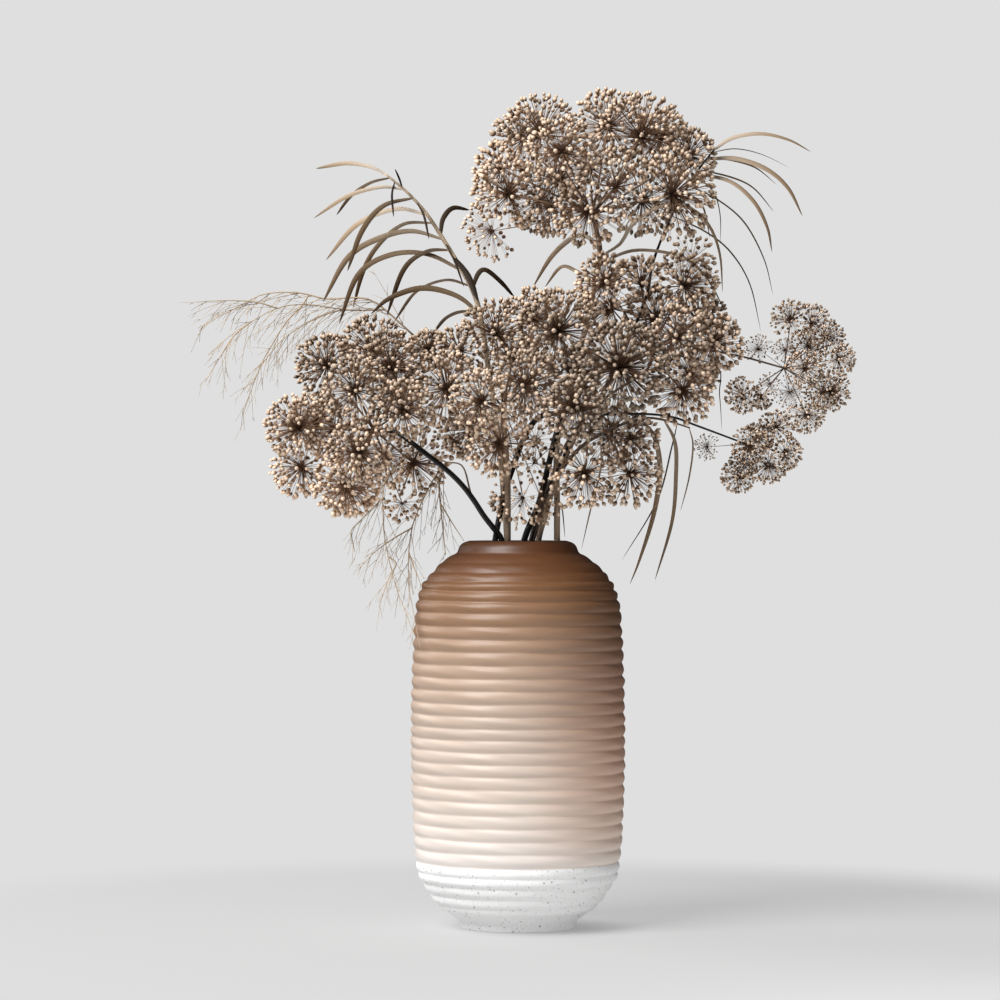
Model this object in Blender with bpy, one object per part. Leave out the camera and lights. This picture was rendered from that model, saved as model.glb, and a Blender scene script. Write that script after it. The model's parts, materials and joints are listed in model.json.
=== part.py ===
"""A ribbed stoneware vase of dried flowers: globe-headed umbels, arching leaves and wisps of grass.

The vase stands on z = 0 around the Z axis, and the front of the arrangement faces -Y. A plant's places
are given as they are seen from the front: column, row and depth, which at() turns into metres.
"""

import math
import random
from typing import NamedTuple

import bmesh
import bpy
from mathutils import Quaternion, Vector
from mathutils.geometry import intersect_point_line

MM = 0.001

# The vase, in metres
VASE_HEIGHT = 0.300
RIB_DEPTH = 0.0017
VASE_SIDES = 20
SHARP_ANGLE = math.radians(30)
FLOOR_HEIGHT = 0.008
STEM_GAP = 0.0003

# Radius and height over the crests of the ribs, from the foot's edge to the lip's top, in millimetres
VASE_FOOT = ((0, 0), (44.5, 0))
VASE_OUTLINE = (
    (46, 6), (52.5, 9.6), (63.2, 17.9), (70.7, 28.6), (74.6, 34.7), (78, 41.7), (79.3, 50.5),
    (81.2, 70), (82.8, 106), (83.4, 145), (82.8, 192), (81.2, 231), (79.7, 248.7), (77.3, 258.8),
    (74.6, 266.3), (70.7, 271.5), (65.7, 277.2), (59.4, 283.4), (52.6, 288.1), (47.8, 291),
    (46.8, 292.8), (45.2, 296), (42.5, 298.4), (38, 300),
)
VASE_BORE = (
    (35.3, 299.2), (34.5, 297), (35, 291.5), (58, 272.5), (71, 252), (75.8, 215), (76.6, 145),
    (74.2, 70), (60, 26), (44, 8), (0, 8),
)

# Heights of the grooves between the ribs, in millimetres. The last one sets off the lip
GROOVE_HEIGHTS = (
    11.5, 18, 26.2, 34.7, 43.3, 51.8, 61.9, 71.8, 81.6, 91.5, 101.4, 111.3, 121, 130.3, 139.7, 148.8,
    157.5, 166.9, 176.2, 186.1, 195.6, 205.7, 215.7, 225.5, 235.3, 245.4, 254.6, 262.8, 270.1, 276.6,
    284.1, 290.6,
)

# The front view that places are given in: a thousand columns and rows, seen level from in front
VIEW_CENTRE = 500
VASE_COLUMN = 518
VASE_FOOT_ROW = 926.7
VASE_ROWS = 386
STEP = VASE_HEIGHT / VASE_ROWS
EYE_DISTANCE = 3.07
EYE_X = (VIEW_CENTRE - VASE_COLUMN) * STEP
EYE_HEIGHT = (VASE_FOOT_ROW - VIEW_CENTRE) * STEP
CURVE_STEPS = 8

# Shares of a globe's radius. A full globe is a core whose every face rises to a pointed bud. A sparse one
# is a small core with stalks, each of which widens to a bud.
CORE_SHARE = 0.74
SPARSE_CORE_SHARE = 0.12
BUD_START_SHARE = 0.84
BUD_RADIUS_SHARE = 0.18

# Points that a core is the hull of: a hull of n points has 2n - 4 faces
GLOBE_POINTS = 22
SMALL_GLOBE_POINTS = 14
SPARSE_POINTS = 9
HUB_POINTS = 8

# Rays, leaves, stems and grass, in metres
SMALL_GLOBE_RADIUS = 0.018
HUB_RADIUS = 0.0042
THIN_HUB_RADIUS = 0.0025
RAY_RADIUS = (0.0011, 0.0008)
THIN_STEM_RADIUS = 0.0015
STEM_TAPER = 0.8
STEM_FLARE = 1.25
NECK_SHARE = 0.93
LEAF_RIDGE = 0.0012
LEAF_FACING = Vector((0.25, -1, 0.9))
LEAF_WIDTHS = (0.55, 1.0, 0.25)
LEAF_RIDGES = (1.0, 0.7)
STRAND_RADIUS = (0.0008, 0.0005)
TWIG_RADIUS = (0.00045, 0.00045)
TWIG_LENGTH = (0.018, 0.034)
TWIG_LEAN = (0.35, 0.7)
TWIG_SAG = Vector((0, 0, -0.2))
TWIG_PLACE = (0.6, 0.9)
TWIG_LOOK = 0.04
TWIG_WALL_GAP = 0.004

# Plants keep this far apart, and no bud grows within this angle's cosine of a globe's own ray
CLEARANCE = 0.0005
PLACE_SPACING = 0.0015
FACE_REACH = 2.3
RAY_COSINE = 0.88

# One head each: its stem from the mouth of the vase to the hub (column, row, depth in millimetres), the
# stem's radius, and its globes (column, row, depth, radius in millimetres). A leaf is the points it
# passes, the depth of its tip and its width. A strand of grass is its points and the depth of its tip, and
# its twigs are their number and the seed they are drawn from.
PLANTS = {
    "umbel_left": {
        "stem": (
            (502, 541, -18), (493, 527.5, -19), (484, 516, -20), (473.4, 499.7, -22), (462.5, 485.5, -24),
            (448.4, 471.5, -26), (425, 453, -28), (397, 433, -20), (374, 430, -5),
        ),
        "radius": 0.0023,
        "globes": (
            (327, 366, 10, 27), (391, 368, -15, 31), (356, 391, -45, 28), (299, 428, -10, 28.5),
            (318, 422, 40, 25), (302, 467, 5, 26), (346, 484, -20, 28.5), (358, 452, -60, 26.5),
            (413, 463, 5, 29.5), (372, 350, 35, 28.5), (403, 410, -55, 25.5), (428, 350, 22, 18),
            (335, 430, 78, 27), (385, 455, 68, 26.5), (350, 490, 48, 23), (395, 392, 60, 25),
        ),
        "sparse": ((402, 503, 0, 17),),
    },
    "umbel_centre_left": {
        "stem": ((507.5, 541, -8), (507.5, 480, -9), (505, 440, -11), (503, 408, -12)),
        "radius": 0.0027,
        "globes": (
            (447, 389, -30, 31), (496, 334, -10, 29.5), (524, 386, -60, 30), (499, 443, -40, 28),
            (460, 352, 6, 23), (533, 320, 10, 27), (482, 402, -78, 26), (530, 380, 70, 28),
            (470, 430, 62, 25), (512, 360, 78, 26),
        ),
        "sparse": (
            (523, 498, -30, 25), (535, 440, -5, 19.5), (454, 439, 8, 18), (503, 501, -16, 12.5),
            (541, 497, -32, 22),
        ),
    },
    "umbel_centre_right": {
        "stem": (
            (538.5, 541, -5), (546, 513, -10), (556, 480, -15), (576, 435, -19), (592, 408, -20),
        ),
        "radius": 0.0024,
        "globes": (
            (559, 331, -35, 34), (620, 368, -60, 38), (575, 407, -82, 26), (585, 472, -45, 29.5),
            (629, 473, -30, 28), (630, 438, -8, 25), (610, 432, 70, 28), (572, 375, 64, 26),
        ),
        "sparse": ((534, 463, -34, 18),),
    },
    "umbel_right": {
        "stem": (
            (524, 541, -6), (539, 503, -5), (549, 463, -2), (556, 435, 0), (567, 400, 4),
            (600, 372, 9), (650, 352, 12),
        ),
        "radius": 0.0026,
        "globes": (
            (612, 309, 5, 28), (605, 283, -25, 25), (684, 286, 0, 28.5), (678, 338, -30, 28),
            (712, 343, -5, 26.5), (681, 390, -25, 29), (641, 285, 0, 24), (656, 318, 70, 28),
            (698, 320, 56, 25), (690, 372, 56, 25),
        ),
        "sparse": ((691, 260, 46, 21.5),),
        "leaves": (
            (((711, 343), (714.5, 365), (719.5, 395), (722, 431)), -2, 0.0016),
        ),
    },
    "umbel_top": {
        "stem": (
            (557, 541, 0), (557, 501, 4), (556.5, 455, 11), (559.6, 423, 14), (566, 399, 17),
            (585, 330, 20), (597, 272, 18), (600, 251, 8), (593, 214, -10),
        ),
        "radius": 0.0025,
        "globes": (
            (541, 134, 0, 32.5), (509, 194, 0, 31), (556, 181, 45, 29.5), (608, 127, 40, 32),
            (641, 137, 0, 36), (616, 187, -50, 32), (589, 211, -28, 30), (672, 194, -45, 36),
            (551, 206, 5, 26), (688, 156, 15, 24.5), (660, 138, 52, 25), (562, 152, -38, 29),
            (590, 168, 92, 30), (642, 200, 78, 31), (540, 200, 78, 29), (522, 140, 35, 27),
            (501, 168, 30, 23.5),
        ),
        "sparse": ((492.5, 231, 10, 26),),
        "leaves": (
            (((600, 250), (589, 238), (574, 237), (552, 256), (533, 287)), 46, 0.0040),
            (((595, 280), (576, 271), (561, 267), (545, 287)), 38, 0.0030),
            (((599, 262), (633, 250.5), (673, 254), (696, 266), (712, 286), (725, 312)), 34, 0.0026),
            (((604, 255), (620, 244), (631, 226), (650, 211), (669, 205), (692, 209), (710, 227),
              (720, 255), (722.5, 292)), -5, 0.0028),
            (((557, 497), (562, 508), (565, 538)), 2, 0.0014),
        ),
    },
    "umbel_far_upper": {
        "stem": (
            (530, 541, 6), (545, 495, 14), (557, 462, 22), (575, 430, 23), (600, 402, 8),
            (630, 382, 2), (657, 367, 10), (698, 351, 18), (739, 356, 12), (784, 368, 5),
        ),
        "radius": 0.0013,
        "globes": (
            (791, 320, 0, 16.8), (811, 324, -4, 17), (805, 369, -18, 16), (826, 338, 8, 15.8),
            (838, 359, -5, 14.5), (830, 391, -6, 17), (806, 414, 0, 15.8), (743, 395, -5, 15.3),
            (808, 346, 38, 16), (822, 392, 32, 15.5), (761, 397, 6, 11),
        ),
        "sparse": ((758.5, 349, 14, 12), (785.5, 351, 18, 11), (789.5, 391, 13, 14), (770, 384, 12, 10)),
    },
    "umbel_far_lower": {
        "stem": (
            (531, 541, -14), (546, 496, -20), (562, 460, -27), (577, 428, -33), (592, 416, -35),
            (642, 414, -32), (672, 417, -25), (695, 425, -16), (746, 444, 0),
        ),
        "radius": 0.0013,
        "globes": (
            (750, 445, -12, 15.5), (776, 428, 0, 15), (785, 453, -2, 14.5), (768, 464, 4, 16.5),
            (738, 476, 0, 14.5), (758, 438, 26, 13.5), (744, 462, 22, 12.5),
        ),
        "sparse": ((707, 447, 8, 11),),
    },
    "leaves_upper_left": {
        "stem": (
            (507, 541, 8), (504, 500, 14), (500, 450, 22), (490, 380, 32), (480, 314, 28),
            (471.6, 288, 24), (459.7, 266.5, 20), (443.4, 239.4, 15), (427, 214.4, 10), (412, 197, 6),
            (399, 185, 3), (384, 173, 0),
        ),
        "radius": 0.0023,
        "leaves": (
            (((387, 175), (371, 167), (346, 163.3), (316, 168.6)), -15, 0.0030),
            (((403, 190), (381, 187), (348, 196), (314, 218)), -50, 0.0032),
            (((389, 179), (370, 183), (351, 196), (336.5, 215)), 40, 0.0028),
            (((411, 199), (383, 206), (362, 231), (347.5, 271)), -70, 0.0034),
            (((427, 214), (396, 209), (357, 224.5), (326, 260)), 12, 0.0036),
            (((432, 222.5), (404, 224), (380, 243), (364, 269), (353, 308)), 66, 0.0032),
            (((442, 239), (412, 231), (380, 238), (348, 257.5), (323, 302)), -30, 0.0038),
            (((459, 271), (427, 254), (390, 255), (358, 275), (339, 324)), 34, 0.0038),
            (((449, 249), (427, 251.5), (404, 269), (387, 315)), 34, 0.0032),
            (((478, 313), (457, 296), (423, 288), (390, 298), (371, 314)), 22, 0.0038),
            (((470, 285), (446, 280), (416, 292), (394, 322)), 100, 0.0030),
            (((480, 316), (464, 311.5), (446, 318), (432, 335)), 54, 0.0028),
            (((416, 202), (424, 216), (429, 239)), -26, 0.0030),
            (((395, 181), (392, 195), (393.6, 217)), -30, 0.0030),
            (((445, 241), (455, 262), (464, 287)), -14, 0.0036),
            (((457, 254), (468, 276), (478, 301)), -18, 0.0040),
            (((440, 234), (443, 219), (453, 208), (469.5, 210)), 36, 0.0032),
            (((472, 288), (478, 274), (486, 270), (501, 282), (515, 298)), 48, 0.0034),
            (((402, 188), (399, 178), (395, 169)), -4, 0.0022),
        ),
    },
    "leaves_upper_right": {
        "stem": (
            (495, 541, -5), (504.5, 494, 1), (513.5, 466, 7), (524, 438, 15), (539, 417, 25),
            (565, 412, 31), (597, 403, 35), (617, 360, 38), (638, 318, 39), (648, 290, 38),
            (653, 262, 36), (672, 215, 32), (697, 172, 27), (714, 150, 24),
        ),
        "radius": 0.0023,
        "leaves": (
            (((714, 150), (732, 138.2), (760, 133.7), (788, 139.6), (810.5, 151.5)), 20, 0.0032),
            (((712, 152), (736, 148.8), (762, 154.5), (789.6, 167.7)), 70, 0.0014),
            (((708, 160), (736, 158.6), (766, 169), (788, 188), (802.5, 216)), -20, 0.0040),
            (((700, 170), (732, 177.5), (754, 188.5), (774, 212)), 60, 0.0024),
            (((697, 174), (729, 181), (753, 200.6), (767, 226.6), (772, 252)), -45, 0.0038),
            (((690, 186), (716.6, 199), (744, 222), (764, 259), (773, 295)), 10, 0.0022),
            (((672, 215), (706, 232), (731, 252.5), (750, 284.5), (761, 332)), 36, 0.0024),
            (((700, 178), (713, 191), (720, 214), (720.5, 243)), 30, 0.0014),
            (((708, 157), (732, 160), (756, 168), (777, 185)), 96, 0.0026),
            (((692, 181), (668, 160), (640, 165), (620, 190)), 126, 0.0034),
            (((676, 207), (690, 197), (703, 207), (710, 238)), 98, 0.0028),
        ),
    },
    "leaves_low_right": {
        "stem": (
            (533, 541, 22), (550, 492, 29), (572, 456, 31), (600, 434, 19), (640, 419, 5),
            (664, 420, 3), (690, 428, 6),
        ),
        "radius": 0.0016,
        "leaves": (
            (((640, 419), (654, 436), (660, 469), (654, 513), (639.5, 560), (630, 584)), -12, 0.0036),
            (((664, 420), (675, 442), (676, 475), (672, 522), (655, 580)), 12, 0.0030),
            (((689, 428), (693, 446), (689, 478), (680.5, 511)), 22, 0.0020),
            (((677, 424), (672, 446), (657, 501), (622, 560)), 34, 0.0018),
            (((600, 434), (601, 466), (589.5, 514), (581.5, 549)), 4, 0.0022),
        ),
    },
    "grass_upper_left": {
        "stem": (
            (507, 541, 24), (507, 500, 30), (501, 450, 40), (478, 405, 50), (440, 365, 54),
            (414, 336, 53),
        ),
        "radius": 0.0011,
        "strands": (
            (((414, 336), (384, 309), (369, 299.5), (350, 297.6), (326, 299), (300, 293), (266, 293.7),
              (241, 305), (198, 328)), 32),
            (((384, 309), (348.5, 310), (307, 304.5), (278, 308), (249, 323), (226, 339), (208, 355)), -8),
            (((278, 308), (255, 302), (224, 300.6), (193, 302.2)), 0),
            (((361, 310), (339, 310.6), (315, 319), (287, 336), (266, 359), (247, 393)), 0),
            (((308, 294.5), (301, 307), (287, 321), (273, 343), (259, 369), (242, 417)), 60),
            (((252, 321), (233, 337), (217, 362), (205, 382)), -30),
        ),
        "twigs": (8, 5),
    },
    "grass_lower_left": {
        "stem": ((502, 541, 24), (492.5, 526, 30), (473, 499, 38), (463, 467, 41), (446, 462, 40)),
        "radius": 0.0011,
        "strands": (
            (((446, 462), (441, 474), (439, 486), (442, 520), (445.5, 555)), -6),
            (((442, 503), (451, 521), (464, 541)), -4),
            (((446, 462), (433, 480), (420, 506), (412, 528), (408.5, 557), (409, 591), (412, 604),
              (420, 649)), -46),
            (((446, 462), (420, 452), (398, 464), (384, 485), (383.5, 524), (387, 551), (397, 590),
              (415, 636)), -48),
            (((384, 498), (362, 519), (351, 532), (355, 552)), 14),
            (((409, 553), (413, 565), (422, 587)), -46),
            (((412, 528), (396, 537), (376, 551), (357, 571)), -50),
            (((389, 556), (396, 564), (388, 580), (379, 607)), -52),
        ),
        "twigs": (10, 4),
    },
}

# Base colour, roughness
COLOURS = {
    "vase": ((0.42, 0.27, 0.17), 0.35),
    "umbel": ((0.36, 0.25, 0.17), 0.80),
    "leaves": ((0.24, 0.17, 0.10), 0.65),
    "grass": ((0.42, 0.33, 0.21), 0.75),
}


def at(column, row, depth):
    """The point seen at a column and row of the front view, depth millimetres behind the vase's axis."""
    reach = STEP * (EYE_DISTANCE + depth * MM) / EYE_DISTANCE
    across = EYE_X + (column - VIEW_CENTRE) * reach
    return Vector((across, depth * MM, EYE_HEIGHT - (row - VIEW_CENTRE) * reach))


def lengths(points):
    """Distance along the points from the first one to each."""
    total = [0.0]
    for a, b in zip(points, points[1:]):
        total.append(total[-1] + (b - a).length)
    return total


def along(points, share):
    """The point at this share, 0 to 1, of the way along straight runs between the points."""
    total = lengths(points)
    wanted = share * total[-1]
    for start, end, a, b in zip(total, total[1:], points, points[1:]):
        if wanted <= end:
            return a.lerp(b, (wanted - start) / max(end - start, 1e-9))
    return points[-1].copy()


def smooth(points, spans):
    """So many even spans along the smooth curve through the points."""
    padded = [2 * points[0] - points[1], *points, 2 * points[-1] - points[-2]]
    curve = []
    for a, b, c, d in zip(padded, padded[1:], padded[2:], padded[3:]):
        square = 2 * a - 5 * b + 4 * c - d
        cube = 3 * b - a - 3 * c + d
        for step in range(CURVE_STEPS):
            t = step / CURVE_STEPS
            curve.append(b + (c - a) * t / 2 + square * t**2 / 2 + cube * t**3 / 2)
    curve.append(points[-1].copy())
    return [along(curve, span / spans) for span in range(spans + 1)]


def between(values, share):
    """The value at this share, 0 to 1, of the way through evenly spaced values."""
    place = share * (len(values) - 1)
    low = min(int(place), len(values) - 2)
    return values[low] + (values[low + 1] - values[low]) * (place - low)


def spiral(count):
    """Evenly spread directions."""
    turn = math.pi * (3 - math.sqrt(5))
    for i in range(count):
        height = 1 - 2 * (i + 0.5) / count
        ring = math.sqrt(1 - height * height)
        yield Vector((ring * math.cos(turn * i), ring * math.sin(turn * i), height))


def random_turn(seed):
    """A rotation of its own for each seed."""
    draw = random.Random(seed)
    return Quaternion([draw.gauss(0, 1) for _ in range(4)]).normalized()


def tube(points, radii, sides):
    """A closed tube through the points, its radius running evenly through the given ones."""
    mesh = bmesh.new()
    rings = []
    side = (points[1] - points[0]).orthogonal().normalized()
    for i, point in enumerate(points):
        ahead = points[min(i + 1, len(points) - 1)] - points[max(i - 1, 0)]
        side = (side - side.project(ahead)).normalized()
        radius = between(radii, i / (len(points) - 1))
        turns = [Quaternion(ahead.normalized(), math.tau * k / sides) for k in range(sides)]
        rings.append([mesh.verts.new(point + turn @ side * radius) for turn in turns])
    return skin(mesh, rings)


def skin(mesh, rings):
    """Faces between rings of equally many points, with both ends closed."""
    count = len(rings[0])
    for low, high in zip(rings, rings[1:]):
        for k in range(count):
            following = (k + 1) % count
            mesh.faces.new((low[k], low[following], high[following], high[k]))
    mesh.faces.new(rings[0][::-1])
    mesh.faces.new(rings[-1])
    return mesh


def leaf(points, width):
    """A long leaf that tapers to its tip: a flat underside and a ridge along its upper face."""
    mesh = bmesh.new()
    rings = []
    last = len(points) - 1
    for i, point in enumerate(points):
        ahead = (points[min(i + 1, last)] - points[max(i - 1, 0)]).normalized()
        across = ahead.cross(LEAF_FACING).normalized()
        up = across.cross(ahead)
        half = width / 2 * between(LEAF_WIDTHS, i / last)
        ridge = LEAF_RIDGE * between(LEAF_RIDGES, i / last)
        rings.append(
            [
                mesh.verts.new(point - across * half),
                mesh.verts.new(point + across * half),
                mesh.verts.new(point + up * ridge),
            ]
        )
    return skin(mesh, rings)


class Globe(NamedTuple):
    """A ball of buds, its core a hull of so many points. A stalked one is sparse, a stalk to each bud."""

    centre: Vector
    radius: float
    core: float
    points: int
    stalked: bool


def core(centre, radius, points, turn):
    """A many-faced body: the hull of points spread evenly over a ball."""
    mesh = bmesh.new()
    for direction in spiral(points):
        mesh.verts.new(centre + turn @ direction * radius)
    bmesh.ops.convex_hull(mesh, input=mesh.verts)
    return mesh


def budded(globe, seed, has_room):
    """A globe whose core grows a bud on every face that has room for one."""
    mesh = core(globe.centre, globe.core, globe.points, random_turn(seed))
    for face in list(mesh.faces):
        middle = face.calc_center_median()
        outward = (middle - globe.centre).normalized()
        if not has_room(outward):
            continue
        if globe.stalked:
            face = bmesh.ops.extrude_discrete_faces(mesh, faces=[face])["faces"][0]
            ring = globe.centre + outward * globe.radius * BUD_START_SHARE
            for corner in face.verts:
                corner.co = ring + (corner.co - middle).normalized() * globe.radius * BUD_RADIUS_SHARE
        tip = bmesh.ops.poke(mesh, faces=[face])["verts"][0]
        tip.co = globe.centre + outward * globe.radius
    return mesh


def share_at(outline, height):
    """How far up the outline a height lies, as a share of the outline's length."""
    total = lengths(outline)
    for start, end, a, b in zip(total, total[1:], outline, outline[1:]):
        if height <= b.z:
            return (start + (end - start) * (height - a.z) / (b.z - a.z)) / total[-1]
    return 1.0


def vase_profile():
    """Radius and height round the vase's section: up its ribbed outside, over the lip, down its bore."""
    outline = [Vector((r * MM, 0, z * MM)) for r, z in VASE_OUTLINE]
    total = lengths(outline)[-1]
    grooves = [share_at(outline, height * MM) for height in GROOVE_HEIGHTS]
    profile = [outline[0]]
    for groove, following in zip(grooves, [*grooves[1:], 1]):
        before = along(outline, groove - MM / total)
        after = along(outline, groove + MM / total)
        inward = (after - before).cross(Vector((0, 1, 0))).normalized() * RIB_DEPTH
        profile.append(along(outline, groove) + inward)
        profile.append(along(outline, (groove + following) / 2))
    profile.append(outline[-1])
    foot = [Vector((r * MM, 0, z * MM)) for r, z in VASE_FOOT]
    bore = [Vector((r * MM, 0, z * MM)) for r, z in VASE_BORE]
    return foot + profile + bore


def vase():
    """The vase, turned from its section."""
    mesh = bmesh.new()
    points = [mesh.verts.new(point) for point in vase_profile()]
    edges = [mesh.edges.new(pair) for pair in zip(points, points[1:])]
    bmesh.ops.spin(
        mesh,
        geom=points + edges,
        cent=(0, 0, 0),
        axis=(0, 0, 1),
        angle=math.tau,
        steps=VASE_SIDES,
        use_merge=True,
    )
    bmesh.ops.remove_doubles(mesh, verts=mesh.verts, dist=1e-6)
    bmesh.ops.recalc_face_normals(mesh, faces=mesh.faces)
    return mesh


def outer_radius(height):
    """The vase's radius over its ribs at a height, nothing above the lip."""
    for (r0, z0), (r1, z1) in zip(VASE_OUTLINE, VASE_OUTLINE[1:]):
        if z0 * MM <= height <= z1 * MM:
            return (r0 + (r1 - r0) * (height / MM - z0) / (z1 - z0)) * MM
    return 0.0


def stem_path(plant):
    """From just above the vase's floor, through its mouth, to the hub or the tip."""
    above = [at(*place) for place in plant["stem"]]
    mouth = above[0]
    foot = Vector((mouth.x * STEM_FLARE, mouth.y * STEM_FLARE, FLOOR_HEIGHT + STEM_GAP))
    neck = foot.lerp(mouth, NECK_SHARE)
    return [foot, *smooth([neck, *above], len(above) + 1)]


def nearest_on(paths, target):
    """The point on the paths that lies nearest to the target as seen from the front."""
    best = None
    for path in paths:
        for a, b in zip(path, path[1:]):
            flat = [Vector((p.x, 0, p.z)) for p in (target, a, b)]
            share = min(max(intersect_point_line(*flat)[1], 0.0), 1.0)
            gap = (flat[0] - flat[1].lerp(flat[2], share)).length
            if best is None or gap < best[0]:
                best = (gap, a.lerp(b, share))
    return best[1]


def rooted(paths, places, tip_depth, spans):
    """A smooth path from its root on the given paths through the places, its depth running to the tip's."""
    root = nearest_on(paths, at(*places[0], paths[0][-1].y / MM))
    flat = [Vector((column, row, 0)) for column, row in places]
    total = lengths(flat)
    start = root.y / MM
    points = [root]
    for (column, row), length in zip(places[1:], total[1:]):
        points.append(at(column, row, start + (tip_depth - start) * length / total[-1]))
    return smooth(points, spans)


def twigs(strands, count, seed):
    """Short side twigs, spread evenly along the strands and leaning towards their tips."""
    draw = random.Random(seed)
    found = []
    total = sum(lengths(strand)[-1] for strand in strands)
    for strand in strands:
        here = max(1, round(count * lengths(strand)[-1] / total))
        for i in range(here):
            share = (i + draw.uniform(*TWIG_PLACE)) / here
            base = along(strand, share)
            ahead = (along(strand, share + TWIG_LOOK) - along(strand, share - TWIG_LOOK)).normalized()
            aside = ahead.orthogonal().normalized()
            aside.rotate(Quaternion(ahead, draw.uniform(0, math.tau)))
            lean = (ahead + aside * draw.uniform(*TWIG_LEAN) + TWIG_SAG).normalized()
            tip = base + lean * draw.uniform(*TWIG_LENGTH)
            if math.hypot(tip.x, tip.y) > outer_radius(tip.z) + TWIG_WALL_GAP:
                found.append([base, tip])
    return found


def paths_of(plant):
    """Every thin piece of a plant as (points, radii), by kind."""
    stem = stem_path(plant)
    rays = [at(*place[:3]) for place in plant.get("globes", ()) + plant.get("sparse", ())]
    leaves = []
    for places, tip_depth, width in plant.get("leaves", ()):
        leaves.append((rooted([stem], places, tip_depth, len(places)), (width / 2, width / 2)))
    strands = []
    for places, tip_depth in plant.get("strands", ()):
        strands.append(rooted([*strands, stem], places, tip_depth, len(places)))
    return {
        "stem": [(stem, (plant["radius"], plant["radius"] * STEM_TAPER))],
        "ray": [([stem[-1], end], RAY_RADIUS) for end in rays],
        "leaf": leaves,
        "strand": [(strand, STRAND_RADIUS) for strand in strands],
        "twig": [(twig, TWIG_RADIUS) for twig in twigs(strands, *plant.get("twigs", (0, 0)))],
    }


def globes_of(plant):
    """The plant's globes, in the order of its rays."""
    found = []
    for column, row, depth, radius in plant.get("globes", ()):
        points = GLOBE_POINTS if radius * MM > SMALL_GLOBE_RADIUS else SMALL_GLOBE_POINTS
        found.append(Globe(at(column, row, depth), radius * MM, radius * MM * CORE_SHARE, points, False))
    for column, row, depth, radius in plant.get("sparse", ()):
        core_radius = radius * MM * SPARSE_CORE_SHARE
        found.append(Globe(at(column, row, depth), radius * MM, core_radius, SPARSE_POINTS, True))
    return found


def from_segment(point, a, b):
    """How far a point is from the segment a-b."""
    share = min(max(intersect_point_line(point, a, b)[1], 0.0), 1.0)
    return (point - a.lerp(b, share)).length


def core_limit(globe, others):
    """How large a globe's core can be, clear of the other plants' globes, stems and leaves."""
    limit = globe.core
    for other in others:
        for ball in other["globes"]:
            middle = (ball.centre - globe.centre).length * globe.radius / (globe.radius + ball.radius)
            limit = min(limit, middle - CLEARANCE / 2)
        for points, radii in other["lines"]:
            gap = min(from_segment(globe.centre, a, b) for a, b in zip(points, points[1:]))
            limit = min(limit, gap - max(radii) - CLEARANCE)
    return max(limit, globe.radius * SPARSE_CORE_SHARE)


def from_bud(point, globe, outward):
    """How far a point is from the bud that a globe would have in this direction."""
    tip = globe.centre + outward * globe.radius
    if globe.stalked:
        return from_segment(point, globe.centre, tip) - globe.radius * BUD_RADIUS_SHARE
    offset = point - tip
    inward = -offset.dot(outward)
    aside = (offset + outward * inward).length
    height = globe.radius - globe.core
    foot = globe.core * FACE_REACH / math.sqrt(globe.points)
    if 0 < inward < height and aside < foot * inward / height:
        return 0.0
    flat = Vector((inward, aside, 0))
    rim = Vector((height, foot, 0))
    return min(from_segment(flat, Vector(), rim), from_segment(flat, Vector((height, 0, 0)), rim))


def room_finder(name, index, layout):
    """Says in which directions a globe's bud clears the other plants and the rest of its own."""
    plant = layout[name]
    globe = plant["globes"][index]
    inward = (plant["hub"] - globe.centre).normalized()
    siblings = [ball for i, ball in enumerate(plant["globes"]) if i != index]
    obstacles = [place for i, line in enumerate(plant["places"]) if i != index for place in line]
    for other in layout.values():
        if other is not plant:
            obstacles += [(ball.centre, ball.radius) for ball in other["globes"]]
            obstacles += [place for line in other["places"] for place in line]
    near = [
        (point, reach + CLEARANCE)
        for point, reach in obstacles
        if (point - globe.centre).length < globe.radius + reach + CLEARANCE
    ]

    def has_room(outward):
        if outward.dot(inward) > RAY_COSINE:
            return False
        tip = globe.centre + outward * globe.radius
        if any((tip - ball.centre).length < ball.radius for ball in siblings):
            return False
        return all(from_bud(point, globe, outward) > reach for point, reach in near)

    return has_room


def laid_out():
    """The thin pieces and the globes of every plant, rays first, and places spaced along the thin pieces."""
    layout = {}
    for name, plant in PLANTS.items():
        paths = paths_of(plant)
        lines = [line for kind in ("ray", "stem", "leaf", "strand", "twig") for line in paths[kind]]
        places = []
        for points, radii in lines:
            steps = math.ceil(lengths(points)[-1] / PLACE_SPACING)
            places.append([(along(points, step / steps), max(radii)) for step in range(steps + 1)])
        hub = paths["stem"][0][0][-1]
        globes = globes_of(plant)
        layout[name] = {"paths": paths, "lines": lines, "places": places, "globes": globes, "hub": hub}
    for plant in layout.values():
        others = [other for other in layout.values() if other is not plant]
        plant["globes"] = [globe._replace(core=core_limit(globe, others)) for globe in plant["globes"]]
    return layout


def solids_of(name, layout):
    """The overlapping solids of one plant, before they are joined."""
    paths = layout[name]["paths"]
    stem, stem_radii = paths["stem"][0]
    thin = stem_radii[0] < THIN_STEM_RADIUS
    solids = [tube(stem, stem_radii, 3 if thin else 4)]
    solids += [leaf(points, radii[0] * 2) for points, radii in paths["leaf"]]
    solids += [tube(points, radii, 3) for kind in ("ray", "strand", "twig") for points, radii in paths[kind]]
    if paths["ray"]:
        solids.append(core(stem[-1], THIN_HUB_RADIUS if thin else HUB_RADIUS, HUB_POINTS, random_turn(name)))
    for index, globe in enumerate(layout[name]["globes"]):
        solids.append(budded(globe, f"{name}{index}", room_finder(name, index, layout)))
    return solids


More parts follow.
